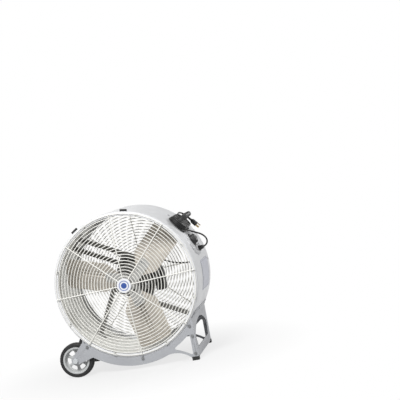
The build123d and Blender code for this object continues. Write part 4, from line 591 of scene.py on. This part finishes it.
# points as (down the drum's side, to the rear, out of it) from the place of the handle
LEAD_ROUTE = [
    (0.1674, 0.0340, 0.0009),
    (0.1656, 0.0340, 0.0160),
    (0.1556, 0.0330, 0.0283),
    (0.1386, 0.0310, 0.0345),
    (0.1145, 0.0270, 0.0324),
    (0.0895, 0.0190, 0.0220),
    (0.0670, 0.0050, 0.0136),
    (0.0510, -0.0170, 0.0119),
    (0.0425, -0.0410, 0.0121),
]
TAIL_ROUTE = [
    (-0.0323, -0.0160, 0.0285),
    (-0.0343, 0.0060, 0.0331),
    (-0.0378, 0.0260, 0.0366),
    (-0.0395, 0.0460, 0.0376),
    (-0.0358, 0.0630, 0.0396),
    (-0.0250, 0.0760, 0.0424),
    (-0.0080, 0.0810, 0.0440),
    (0.0080, 0.0810, 0.0440),
]

# the place of each turn in the winding, as its half width and its height above the drum
TURN_PLACES = [
    (OUTER_TURN, TURN_LEVELS[0]),
    (INNER_TURN, TURN_LEVELS[0]),
    (INNER_TURN, TURN_LEVELS[1]),
    (OUTER_TURN, TURN_LEVELS[1]),
    (OUTER_TURN, TURN_LEVELS[2]),
    (INNER_TURN, TURN_LEVELS[2]),
]
handle_place = on_drum(HANDLE_ANGLE)
gland_mouth = on_drum(GLAND_ANGLE, GLAND_DEPTH, GLAND_SEAT + GLAND_HEIGHT)


def turn_point(turn, station):
    """A point of the winding: every turn steps to its next place just after the turn above it did."""
    width, height = TURN_PLACES[turn]
    if turn + 1 < TURN_COUNT:
        start = FIRST_STEP + (TURN_COUNT - 2 - turn) * STEP_STATIONS
        share = smooth_step((station - start) / STEP_STATIONS)
        next_width, next_height = TURN_PLACES[turn + 1]
        width += (next_width - width) * share
        height += (next_height - height) * share
    half = WRAP_SPACING / 2
    pitch = 180 / END_STEPS
    reach = width / math.cos(math.radians(pitch / 2))
    side_pitch = WRAP_SPACING / SIDE_STEPS
    if station < END_STEPS:
        x, y = polar(reach, pitch * (station + 0.5))
        return x, -half - y, height
    station -= END_STEPS
    if station < SIDE_STEPS:
        return -width, -half + side_pitch * (station + 0.5), height
    station -= SIDE_STEPS
    if station < END_STEPS:
        x, y = polar(reach, pitch * (station + 0.5))
        return -x, half + y, height
    station -= END_STEPS
    return width, half - side_pitch * (station + 0.5), height


def cord_points():
    """The cord's whole route, from the gland's mouth to the plug."""
    points = [gland_mouth.to_translation()]
    points += [handle_place @ Vector(point) for point in LEAD_ROUTE]
    stations = 2 * (END_STEPS + SIDE_STEPS)
    for turn in range(TURN_COUNT):
        last = END_STEPS + 1 if turn == TURN_COUNT - 1 else stations
        points += [handle_place @ Vector(turn_point(turn, station)) for station in range(last)]
    points += [handle_place @ Vector(point) for point in TAIL_ROUTE]
    return points


cord_line = bpy.data.curves.new("supply_cord", "CURVE")
cord_line.dimensions = "3D"
cord_line.resolution_u = 6
cord_line.bevel_depth = CORD_DIAMETER / 2
cord_line.bevel_resolution = 4
cord_line.use_fill_caps = True
cord_spline = cord_line.splines.new("NURBS")
route = cord_points()
cord_spline.points.add(len(route) - 1)
for control, point in zip(cord_spline.points, route):
    control.co = (*point, 1.0)
cord_spline.order_u = 3
cord_spline.use_endpoint_u = True
cord_line.materials.append(FINISHES["cord_rubber"])
supply_cord = bpy.data.objects.new("supply_cord", cord_line)
bpy.context.collection.objects.link(supply_cord)
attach(supply_cord, "fan_frame")
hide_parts("power_cord_lead", "power_cord_coil", "power_cord_tail")

# -------------------------------- plug

BOOT_LENGTH = 0.022
BOOT_RIBS = 4
BOOT_RIB = ((0.0, 0.1), (0.0002, 0.6), (-0.0012, 0.72), (-0.001, 0.98))
PLUG_LENGTH = 0.034
PLUG_WIDTH = 0.026
PLUG_HEIGHT = 0.022
PLUG_CORNER = 0.006
PLUG_RIDGES = 5
RIDGE_START = 0.0105
RIDGE_PITCH = 0.0032
PLUG_RIDGE = ((0.0, 0.9), (0.0011, 0.965), (0.0021, 0.965))


def plug_place(along):
    """A place at this distance past the cord's end, which faces the way the plug's pins do."""
    down, rear, out = (handle_place.col[i].to_3d() for i in range(3))
    spot = handle_place @ Vector((TAIL_ROUTE[-1][0] + along, TAIL_ROUTE[-1][1], TAIL_ROUTE[-1][2]))
    return placed(spot, rear, out, down)


def plug_body():
    """A moulded plug: a ribbed boot that flares into a body with ridged sides."""
    mesh = bmesh.new()
    boot = [(0.0, 0.0), (0.0046, 0.0)]
    pitch = BOOT_LENGTH / (BOOT_RIBS + 0.5)
    for i in range(BOOT_RIBS):
        flare = 0.0049 + 0.0005 * i
        boot += [(flare + change, pitch * (i + share)) for change, share in BOOT_RIB]
    boot += [(0.0068, BOOT_LENGTH), (0.0, BOOT_LENGTH + 0.002)]
    lathe(mesh, plug_place(0), boot, 32)
    shape = [
        (0.0, 0.55, 0.6, 0.0055),
        (0.0022, 0.72, 0.78, PLUG_CORNER),
        (0.006, 0.86, 0.92, PLUG_CORNER),
        (0.009, 0.93, 0.98, PLUG_CORNER),
    ]
    for i in range(PLUG_RIDGES):
        start = RIDGE_START + RIDGE_PITCH * i
        shape += [(start + along, wide, 0.98, PLUG_CORNER) for along, wide in PLUG_RIDGE]
    shape += [
        (0.0275, 0.94, 0.98, PLUG_CORNER),
        (0.0285, 1.0, 1.0, PLUG_CORNER),
        (0.033, 1.0, 1.0, PLUG_CORNER),
        (PLUG_LENGTH, 0.94, 0.94, 0.005),
    ]
    sections = [(along, wide * PLUG_WIDTH, high * PLUG_HEIGHT, corner) for along, wide, high, corner in shape]
    loft(mesh, plug_place(BOOT_LENGTH), sections)
    return piece("plug_moulding", mesh, "black_plastic", stands_for=["plug"], crease=50.0)


plug = plug_body()

# -------------------------------- cord gland

GLAND_FLATS = 0.025
GLAND_NUT = 0.007
GLAND_BORE = 0.0043
GLAND_NECK = 0.0112
GLAND_RINGS = 4
RING_START = 0.0098
RING_STEP = 0.0034
RING_REACH = 0.0108
RING_TAPER = 0.00028
GLAND_RING = ((0.0, 0.0), (-0.0002, 0.0022), (-0.0012, 0.0025), (-0.0013, 0.0031))


def gland_body():
    """A hexagonal nut with a neck of soft rings that hold the cord."""
    mesh = bmesh.new()
    base = on_drum(GLAND_ANGLE, GLAND_DEPTH, GLAND_SEAT)
    corner = GLAND_FLATS / math.sqrt(3)
    nut = [
        (GLAND_BORE, 0),
        (corner * 0.97, 0),
        (corner, 0.0006),
        (corner, GLAND_NUT - 0.001),
        (corner * 0.92, GLAND_NUT),
        (GLAND_BORE, GLAND_NUT),
    ]
    lathe(mesh, base, nut, HEXAGON, closed=True)
    outer = [(GLAND_NECK, GLAND_NUT), (GLAND_NECK, 0.009)]
    for i in range(GLAND_RINGS):
        reach = RING_REACH - RING_TAPER * i
        start = RING_START + RING_STEP * i
        outer += [(reach + change, start + along) for change, along in GLAND_RING]
    outer += [(0.0086, 0.0232), (0.0074, GLAND_HEIGHT), (GLAND_BORE, GLAND_HEIGHT)]
    lathe(mesh, base, outer + [(GLAND_BORE, GLAND_NUT)], 40, closed=True)
    return piece("gland_body", mesh, "black_plastic", stands_for=["cord_gland"], soften=0.0003)


gland_body()

# -------------------------------- wheels

RIM_OUTER = 0.0664
TREAD_BLOCKS = 36
TREAD_STATIONS = 5
GROOVE = 0.0016
SPOKE_WINDOWS = 6
WINDOW_TURN = 40.0
WINDOW_INNER = 0.03
WINDOW_OUTER = 0.0502
WINDOW_CORNER = 0.0058

# half profiles as (radius, distance from the wheel's middle plane)
TYRE_PROFILE = [
    (RIM_OUTER + 0.0002, 0.0190),
    (RIM_OUTER + 0.0010, 0.0214),
    (0.0690, 0.0220),
    (0.0705, 0.0213),
    (0.0718, 0.0219),
    (0.0770, 0.0219),
    (0.0800, 0.0207),
    (0.0826, 0.0186),
    (0.0840, 0.0164),
    (0.0849, 0.0132),
    (0.0852, 0.0112),
    (0.0836, 0.0104),
    (0.0836, 0.0090),
    (0.0853, 0.0082),
    (0.0855, 0.0020),
    (0.0838, 0.0012),
]
SHOULDER_FROM = 0.0108
SHOULDER_TO = 0.0190
SHOULDER_RADIUS = 0.0835
RIM_PROFILE = [
    (RIM_OUTER, 0.0200),
    (RIM_OUTER, 0.0214),
    (0.0652, 0.0219),
    (0.0595, 0.0217),
    (0.0575, 0.0205),
    (0.0562, 0.0165),
    (0.0548, 0.0075),
    (0.0530, 0.0045),
    (0.0505, 0.0036),
]
HUB_PROFILE = [
    (0.0081, 0.0250),
    (0.0130, 0.0250),
    (0.0150, 0.0243),
    (0.0160, 0.0225),
    (0.0172, 0.0190),
    (0.0186, 0.0100),
    (0.0205, 0.0040),
]
WEB_RADII = [
    0.0195, 0.0250, 0.0300, 0.0303, 0.0310, 0.0322, 0.0338, 0.0358,
    0.0400, 0.0444, 0.0464, 0.0480, 0.0492, 0.0499, 0.0502, 0.0512,
]
WEB_HALF = 0.0035
RIM_SEGMENTS = 96
HUB_SEGMENTS = 64
RIB_START = 0.0185
RIB_LEVEL = 0.0032
RIB_SECTIONS = [(0.0, 0.0042, 0.009, 0.001), (0.012, 0.0038, 0.0052, 0.001), (0.034, 0.0034, 0.0034, 0.001)]


def mirrored(half):
    """A whole profile, made of the half on one side of the middle plane."""
    return half + [(radius, -along) for radius, along in reversed(half)]


def tyre_body(end, centre):
    """A solid tyre: rounded walls with a bead line, grooves round it and blocks at its shoulders."""
    profile = mirrored(TYRE_PROFILE)
    shoulder = [
        step for step, (radius, along) in enumerate(profile)
        if SHOULDER_FROM < abs(along) < SHOULDER_TO and radius > SHOULDER_RADIUS
    ]

    def blocks(i, step):
        gap = i % TREAD_STATIONS == 0
        return -GROOVE if gap and step in shoulder else 0.0

    mesh = bmesh.new()
    lathe(mesh, facing_front(centre), profile, TREAD_BLOCKS * TREAD_STATIONS, blocks, closed=True)
    return piece(end + "_tyre_tread", mesh, "tyre", end + "_wheel", [end + "_tyre"], crease=40.0)


def rim_body(end, centre):
    """A dished rim: bright lips, a web with round-cornered windows and a domed hub."""
    mesh = bmesh.new()
    place = facing_front(centre)
    lathe(mesh, place, mirrored(RIM_PROFILE), RIM_SEGMENTS, closed=True)
    windows = (SPOKE_WINDOWS, WINDOW_TURN, WINDOW_INNER, WINDOW_OUTER, WINDOW_CORNER, 0.0)
    pierced_ring(mesh, place, WEB_RADII, lambda radius: WEB_HALF, 2 * WEB_HALF, windows)
    for side in (-1, 1):
        rib = placed(Vector(centre), RIGHT, UP * side, FRONT * side)
        for i in range(SPOKE_WINDOWS):
            turn = TURN_FULL * (i + 0.5) / SPOKE_WINDOWS
            spin = Matrix.Rotation(math.radians(turn), 4, "Z")
            bar = rib @ spin @ placed(Vector((RIB_START, 0, RIB_LEVEL)), UP, RIGHT.cross(UP), RIGHT)
            loft(mesh, bar, RIB_SECTIONS)
    lathe(mesh, place, mirrored(HUB_PROFILE), HUB_SEGMENTS, closed=True)
    return piece(
        end + "_rim_dished", mesh, "rim_plastic", end + "_wheel", [end + "_wheel_rim"],
        crease=32.0, soften=0.0006,
    )


for end in ("front", "rear"):
    low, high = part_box(end + "_tyre")
    wheel_middle = (low + high) / 2
    tyre_body(end, wheel_middle)
    rim_body(end, wheel_middle)

# -------------------------------- knob and dial

KNOB_RADIUS = 0.027
KNOB_HEIGHT = 0.022
SKIRT_HEIGHT = 0.0034
KNOB_FLUTES = 24
FLUTE_STATIONS = 4
FLUTE_DEPTH = 0.0011
MARK_OFFSET = 0.0115
MARK_SECTIONS = [
    (KNOB_HEIGHT - 0.0006, 0.0018, 0.0125, 0.0006),
    (KNOB_HEIGHT - 0.0001, 0.0016, 0.0122, 0.0006),
]
DIAL_NUMBERS = (("0", -90.0), ("1", -135.0), ("2", -180.0))
NUMBER_RADIUS = 0.0455
NUMBER_SIZE = 0.0115
NUMBER_LIFT = 0.0002
NUMBER_RELIEF = 0.00015
TICK_RADIUS = 0.0363
TICK_SECTIONS = [(-0.0004, 0.0034, 0.0012, 0.0004), (0.0003, 0.0034, 0.0012, 0.0004)]


def knob_body():
    """A tall fluted knob on a smooth skirt, with a low bar across its top."""
    mesh = bmesh.new()
    place = on_drum(SWITCH_ANGLE, SWITCH_DEPTH, KNOB_SEAT)

    def flutes(i, step):
        return -FLUTE_DEPTH if 3 < step < 8 and i % FLUTE_STATIONS < FLUTE_STATIONS / 2 else 0.0

    profile = [
        (0.0, 0.0),
        (KNOB_RADIUS - 0.0006, 0.0),
        (KNOB_RADIUS, 0.0008),
        (KNOB_RADIUS - 0.0004, SKIRT_HEIGHT),
        (KNOB_RADIUS - 0.0022, SKIRT_HEIGHT + 0.0006),
        (KNOB_RADIUS - 0.0028, 0.0080),
        (KNOB_RADIUS - 0.0040, 0.0140),
        (KNOB_RADIUS - 0.0056, 0.0172),
        (KNOB_RADIUS - 0.0076, 0.0190),
        (KNOB_RADIUS - 0.0110, 0.0199),
        (0.0, 0.0204),
    ]
    lathe(mesh, place, profile, KNOB_FLUTES * FLUTE_STATIONS, flutes)
    bar = [
        (0.0150, 0.0150, 0.0440, 0.0070),
        (0.0195, 0.0130, 0.0420, 0.0062),
        (0.0212, 0.0116, 0.0404, 0.0055),
        (KNOB_HEIGHT, 0.0094, 0.0382, 0.0044),
    ]
    loft(mesh, place, bar)
    return piece("knob_body", mesh, "black_plastic", "speed_knob", ["switch_knob"], crease=40.0)


def knob_mark():
    """The white line on the end of the knob's bar that points to the front at rest."""
    mesh = bmesh.new()
    loft(mesh, on_drum(SWITCH_ANGLE, SWITCH_DEPTH - MARK_OFFSET, KNOB_SEAT), MARK_SECTIONS)
    return piece("knob_mark", mesh, "wire_paint", "speed_knob", material=PRINT_WHITE)


def dial_spot(radius, angle, height):
    """A place on the control plate about the switch: angle 0 is down the drum's side, 90 to the rear."""
    down, rear = polar(radius, angle)
    return on_drum(SWITCH_ANGLE - math.degrees(down / DRUM_RADIUS), SWITCH_DEPTH + rear, height)


def dial_print():
    """Plain numbers and a tick for each, printed on the control plate."""
    numbers = []
    for text, angle in DIAL_NUMBERS:
        words = bpy.data.curves.new("dial_number_" + text, "FONT")
        words.body = text
        words.size = NUMBER_SIZE
        words.align_x = "CENTER"
        words.align_y = "CENTER"
        words.extrude = NUMBER_RELIEF
        words.materials.append(PRINT_DARK)
        number = bpy.data.objects.new("dial_number_" + text, words)
        bpy.context.collection.objects.link(number)
        spot = dial_spot(NUMBER_RADIUS, angle, PLATE_SEAT + NUMBER_LIFT)
        down, rear, out = (spot.col[i].to_3d() for i in range(3))
        number.matrix_world = placed(spot.to_translation(), rear, -down, out)
        numbers.append(number)
    mesh = bmesh.new()
    for _, angle in DIAL_NUMBERS:
        spin = Matrix.Rotation(math.radians(angle), 4, "Z")
        loft(mesh, dial_spot(TICK_RADIUS, angle, PLATE_SEAT) @ spin, TICK_SECTIONS)
    piece("dial_ticks", mesh, "black_plastic", material=PRINT_DARK)
    for number in numbers:
        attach(number, "fan_frame")


knob_body()
knob_mark()
dial_print()

# -------------------------------- handle

GRIP_HEIGHT = 0.062
GRIP_RADIUS = 0.013
GRIP_HALF = 0.07
GRIP_END = [(0.0, 0.0), (0.0085, 0.0), (0.0115, 0.0012), (GRIP_RADIUS, 0.0045)]
RIDGE_COUNT = 14
RIDGE_SPAN = 0.086
RIDGE_FOOT = 0.0121
RIDGE_TOP = 0.0129
RIDGE = ((RIDGE_FOOT, -0.0022), (RIDGE_TOP, -0.0012), (RIDGE_TOP, 0.0012), (RIDGE_FOOT, 0.0022))
POST_FOOT = 0.03165
POST_SPACING = 0.116
POST_SIZE = 0.024


def handle_body():
    """A bar with finger ridges between two posts that flare at the foot and swell into knuckles."""
    mesh = bmesh.new()
    bar = handle_place @ placed(UP * GRIP_HEIGHT, UP, RIGHT, REAR)
    profile = [(radius, inset - GRIP_HALF) for radius, inset in GRIP_END]
    profile += [(GRIP_RADIUS, -0.046), (RIDGE_FOOT, -0.0445)]
    for i in range(RIDGE_COUNT):
        middle = -RIDGE_SPAN / 2 + RIDGE_SPAN * i / (RIDGE_COUNT - 1)
        profile += [(radius, middle + along) for radius, along in RIDGE]
    profile += [(RIDGE_FOOT, 0.0465), (GRIP_RADIUS, 0.048)]
    profile += [(radius, GRIP_HALF - inset) for radius, inset in reversed(GRIP_END)]
    lathe(mesh, bar, profile, 40)
    for end in (-1, 1):
        post = handle_place @ Matrix.Translation((0, end * POST_SPACING / 2, 0))
        sections = [
            (POST_FOOT, POST_SIZE, POST_SIZE, 0.004),
            (POST_FOOT + 0.003, POST_SIZE, POST_SIZE, 0.004),
            (POST_FOOT + 0.005, POST_SIZE - 0.003, POST_SIZE - 0.002, 0.005),
            (POST_FOOT + 0.014, POST_SIZE - 0.0045, POST_SIZE - 0.003, 0.006),
            (GRIP_HEIGHT - 0.006, POST_SIZE - 0.003, POST_SIZE - 0.001, 0.0065),
            (GRIP_HEIGHT, POST_SIZE - 0.002, POST_SIZE - 0.001, 0.007),
        ]
        loft(mesh, post, sections)
    return piece("handle_moulding", mesh, "black_plastic", stands_for=["handle_grip"], crease=40.0)


handle_body()

# -------------------------------- motor bells with cooling slots

MOTOR_RADIUS = 0.0825
BELL_LENGTH = 0.018
BELL_WALL = 0.005
BELL_SLOTS = 20
BELL_EDGE = 0.0793
BELL_SEGMENTS = 120
BELL_RADII = [
    0.0100, 0.0180, 0.0260, 0.0285, 0.0310, 0.0335, 0.0370, 0.0405, 0.0409, 0.0418,
    0.0430, 0.0480, 0.0540, 0.0600, 0.0650, 0.0662, 0.0671, 0.0675, 0.0730, 0.0795,
]
CAP_RISE = 0.0018
CAP_RADIUS = 0.028
CAP_SLOPE = 0.006
SLOT_TURN = 10.0
SLOT_INNER = 0.0405
SLOT_OUTER = 0.0675
SLOT_CORNER = 0.0025
SLOT_PHASE = -27.0


def bell_body(end, place_of, face):
    """An end bell: a raised bearing cap, cooling slots, and a rolled edge over the shell."""
    mesh = bmesh.new()
    place = place_of((DRUM_MIDDLE.x, face, DRUM_MIDDLE.z))

    def surface(radius):
        return CAP_RISE * (1 - smooth_step((radius - CAP_RADIUS) / CAP_SLOPE))

    windows = (BELL_SLOTS, SLOT_TURN, SLOT_INNER, SLOT_OUTER, SLOT_CORNER, SLOT_PHASE)
    pierced_ring(mesh, place, BELL_RADII, surface, BELL_WALL, windows)
    rim = [
        (BELL_EDGE, 0.0),
        (0.0806, -0.0003),
        (0.0819, -0.0014),
        (MOTOR_RADIUS, -0.003),
        (MOTOR_RADIUS, -0.0152),
        (MOTOR_RADIUS - 0.0008, -0.0158),
        (MOTOR_RADIUS - 0.0008, -BELL_LENGTH),
        (0.0795, -BELL_LENGTH),
        (BELL_EDGE, -BELL_WALL),
    ]
    lathe(mesh, place, rim, BELL_SEGMENTS, closed=True)
    bell = "motor_" + end + "_bell"
    return piece(bell + "_slotted", mesh, "dark_paint", stands_for=[bell], crease=38.0)


bell_body("front", facing_front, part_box("motor_front_bell")[0].y)
bell_body("rear", facing_rear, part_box("motor_rear_bell")[1].y)

# -------------------------------- guards' welds

# the guards' wires, as the solids have them
RING_WIRE = 0.004
RING_PITCH = 0.015
RING_COUNT = 22
OUTER_RING = 0.345
SPOKE_COUNT = 8
SPOKE_PHASE = 3.0
GUARD_RISE = 0.022
WELD_SIZE = 0.0026
WELD_SQUASH = 0.45


def guard_welds(end, side):
    """The small nuggets where each ring is welded to each spoke."""
    mesh = bmesh.new()
    seat = drum_high.y + RING_WIRE / 2
    for i in range(RING_COUNT):
        radius = OUTER_RING - RING_PITCH * i
        depth = seat + GUARD_RISE * (1 - radius / OUTER_RING) + RING_WIRE / 2
        for j in range(SPOKE_COUNT):
            x, z = polar(radius, SPOKE_PHASE + TURN_FULL / SPOKE_COUNT * j)
            spot = DRUM_MIDDLE + Vector((x, side * depth, z))
            squash = Matrix.Translation(spot) @ Matrix.Scale(WELD_SQUASH, 4, REAR)
            bmesh.ops.create_icosphere(mesh, subdivisions=1, radius=WELD_SIZE, matrix=squash)
    return piece(end + "_guard_welds", mesh, "wire_paint", crease=180.0)


guard_welds("front", -1)
guard_welds("rear", 1)

# -------------------------------- small fittings

COVER_SCREW_INSET = 0.007
COVER_SCREW_RADIUS = 0.0033
COVER_SCREW_RISE = 0.002
NAMEPLATE_TURN = -6.0
BORDER_INSET = 0.008
BORDER_HALF = 0.067
BORDER_WIDTH = 0.0011
BORDER_SEAT = 0.00135
BORDER_RELIEF = 0.0001
BORDER_STEPS = 12
BOLT_TURN = 283.6
BOLT_TILT = 28.0
BOLT_REACH = 0.051
BOLT_DROP = 0.0064
BLADE_DEPTH = -0.09
BOLT_HEAD = [(0.0, 0.0042), (0.0052, 0.0042), (0.006, 0.0036), (0.006, 0.0), (0.0, 0.0)]
BOLT_WASHER = [(0.0, 0.0009), (0.0078, 0.0009), (0.0082, 0.0005), (0.0082, 0.0), (0.0, 0.0)]


def cover_screws():
    """Four screws that hold the wiring box's cover."""
    mesh = bmesh.new()
    low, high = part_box("wiring_box_cover")
    for x in (low.x + COVER_SCREW_INSET, high.x - COVER_SCREW_INSET):
        for z in (low.z + COVER_SCREW_INSET, high.z - COVER_SCREW_INSET):
            domed_screw(mesh, facing_rear((x, high.y, z)), COVER_SCREW_RADIUS, COVER_SCREW_RISE)
    return piece("cover_screws", mesh, "zinc")


def nameplate_border():
    """A thin printed line round the bare plate on the drum's side."""
    mesh = bmesh.new()
    low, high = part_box("nameplate")
    middle_depth = (low.y + high.y) / 2
    half_depth = (high.y - low.y) / 2 - BORDER_INSET
    half_turn = math.degrees(BORDER_HALF / DRUM_RADIUS)
    lift = Vector((0, 0, BORDER_RELIEF))
    corners = [
        (NAMEPLATE_TURN + half_turn * turn_share, middle_depth + half_depth * depth_share)
        for turn_share, depth_share in ((-1, -1), (-1, 1), (1, 1), (1, -1))
    ]
    for (turn, depth), (next_turn, next_depth) in zip(corners, corners[1:] + corners[:1]):
        across = REAR if depth == next_depth else RIGHT
        offset = across * (BORDER_WIDTH / 2)
        strip = []
        for i in range(BORDER_STEPS + 1):
            share = i / BORDER_STEPS
            point_turn = turn + (next_turn - turn) * share
            place = on_drum(point_turn, depth + (next_depth - depth) * share, BORDER_SEAT)
            strip.append([
                mesh.verts.new(place @ corner)
                for corner in (-offset - lift, offset - lift, offset + lift, -offset + lift)
            ])
        skin(mesh, strip)
        mesh.faces.new(strip[0])
        mesh.faces.new(strip[-1])
    return piece("nameplate_border", mesh, "nameplate_foil", material=PRINT_DARK)


def balance_bolt():
    """A dark bolt on one arm of the hub."""
    turn = math.radians(BOLT_TURN)
    tilt = math.radians(BOLT_TILT)
    out = Vector((math.cos(turn), 0, math.sin(turn)))
    front = Vector((-math.sin(turn) * math.sin(tilt), -math.cos(tilt), math.cos(turn) * math.sin(tilt)))
    hub_middle = Vector((DRUM_MIDDLE.x, BLADE_DEPTH, DRUM_MIDDLE.z))
    place = placed(hub_middle + out * BOLT_REACH + front * -BOLT_DROP, out, front.cross(out), front)
    mesh = bmesh.new()
    lathe(mesh, place, BOLT_HEAD, HEXAGON)
    lathe(mesh, place, BOLT_WASHER, 32)
    return piece("balance_bolt", mesh, "black_plastic", "rotor", crease=30.0)


cover_screws()
nameplate_border()
balance_bolt()

# -------------------------------- the CAD's own pieces

WELD_DISTANCE = 0.00001
SOFT_EDGES = {
    "black_plastic": 0.0006,
    "rubber": 0.0008,
    "cradle_paint": 0.0004,
    "zinc": 0.0003,
    "dark_paint": 0.0004,
    "white_paint": 0.0003,
    "blade_metal": 0.0003,
    "hub_metal": 0.0006,
}
KEPT_SHARP = ("front_grille", "rear_grille", "drum_housing", "motor_cable")
OWN_FINISH = {
    "drum_housing": drum_paint(),
    "front_center_disc": DISC_PAINT,
    "rear_center_disc": DISC_PAINT,
    "control_plate": PLATE_COAT,
    "grille_clips": CLIP_COAT,
    "frame_bolts": BOLT_ZINC,
    "clip_screws": BOLT_ZINC,
    "axle_caps": CAP_COAT,
}
slot_of = {part["node"]: part["material_slot"] for part in frame["record"]["subparts"]}

for name, node in frame["nodes"].items():
    slot_name = slot_of[name]
    node.data.materials.clear()
    node.data.materials.append(OWN_FINISH.get(name, FINISHES[slot_name]))
    for polygon in node.data.polygons:
        polygon.material_index = 0
    if slot_name in SOFT_EDGES and name not in KEPT_SHARP and not node.hide_render:
        weld = node.modifiers.new("joined_points", "WELD")
        weld.merge_threshold = WELD_DISTANCE
        round_edges(node, SOFT_EDGES[slot_name])

# -------------------------------- floor, lamps and world

WHITE = (1.0, 1.0, 1.0, 1.0)
FLOOR_HALF = 30.0
FLOOR_TONE = (0.5, 0.5, 0.5, 1.0)
# how far the floor's plain white shows: least inside the near distance, all of it past the far one
FLOOR_NEAR = 0.3
FLOOR_FAR = 0.85
FLOOR_LEAST = 0.76


def floor_finish():
    """Pale floor that keeps a soft shadow near the fan and turns into plain white further off."""
    finish = Finish("floor_white", 0.9)
    finish.shader.inputs["Base Color"].default_value = FLOOR_TONE
    nodes = finish.nodes
    glow = nodes.new("ShaderNodeEmission")
    glow.inputs["Color"].default_value = WHITE
    distance = nodes.new("ShaderNodeVectorMath")
    distance.operation = "LENGTH"
    finish.join(finish.coordinates.outputs["Object"], distance.inputs[0])
    far = finish.spread(distance.outputs["Value"], FLOOR_NEAR, FLOOR_FAR, FLOOR_LEAST, 1.0)
    rays = nodes.new("ShaderNodeLightPath")
    seen = finish.math("MAXIMUM", rays.outputs["Is Camera Ray"], rays.outputs["Is Glossy Ray"])
    share = finish.math("MULTIPLY", far, seen)
    mixed = nodes.new("ShaderNodeMixShader")
    finish.join(share, mixed.inputs[0])
    finish.join(finish.shader.outputs[0], mixed.inputs[1])
    finish.join(glow.outputs[0], mixed.inputs[2])
    finish.join(mixed.outputs[0], nodes["Material Output"].inputs["Surface"])
    return finish.material


floor_mesh = bmesh.new()
bmesh.ops.create_grid(floor_mesh, x_segments=1, y_segments=1, size=FLOOR_HALF)
floor_data = bpy.data.meshes.new("floor")
floor_mesh.to_mesh(floor_data)
floor_mesh.free()
floor_data.materials.append(floor_finish())
floor = bpy.data.objects.new("floor", floor_data)
bpy.context.collection.objects.link(floor)


LAMP_AIM = Vector((0.0, 0.0, 0.4))
WORLD_LIGHT = 0.27


def lamp(name, spot, size, power):
    """A square soft lamp that points at the fan."""
    data = bpy.data.lights.new(name, "AREA")
    data.shape = "SQUARE"
    data.size = size
    data.energy = power
    made = bpy.data.objects.new(name, data)
    bpy.context.collection.objects.link(made)
    turn = (LAMP_AIM - Vector(spot)).to_track_quat("-Z", "Y").to_matrix().to_4x4()
    made.matrix_world = Matrix.Translation(Vector(spot)) @ turn


def studio_world():
    """Even light from all round, which the camera sees as plain white."""
    world = bpy.data.worlds.new("studio")
    bpy.context.scene.world = world
    world.use_nodes = True
    nodes = world.node_tree.nodes
    links = world.node_tree.links
    nodes.clear()
    rays = nodes.new("ShaderNodeLightPath")
    seen = nodes.new("ShaderNodeMath")
    seen.operation = "MAXIMUM"
    links.new(rays.outputs["Is Camera Ray"], seen.inputs[0])
    links.new(rays.outputs["Is Transmission Ray"], seen.inputs[1])
    mixed = nodes.new("ShaderNodeMixShader")
    links.new(seen.outputs[0], mixed.inputs[0])
    for socket, strength in ((mixed.inputs[1], WORLD_LIGHT), (mixed.inputs[2], 1.0)):
        light = nodes.new("ShaderNodeBackground")
        light.inputs["Color"].default_value = WHITE
        light.inputs["Strength"].default_value = strength
        links.new(light.outputs[0], socket)
    links.new(mixed.outputs[0], nodes.new("ShaderNodeOutputWorld").inputs["Surface"])


lamp("front_lamp", (-0.5, -3.8, 4.5), 1.6, 330.0)
lamp("side_lamp", (3.0, 3.2, 1.7), 0.4, 80.0)
lamp("back_lamp", (-2.0, 4.5, 2.6), 3.0, 15.0)
studio_world()
bpy.context.scene.view_settings.view_transform = "Standard"
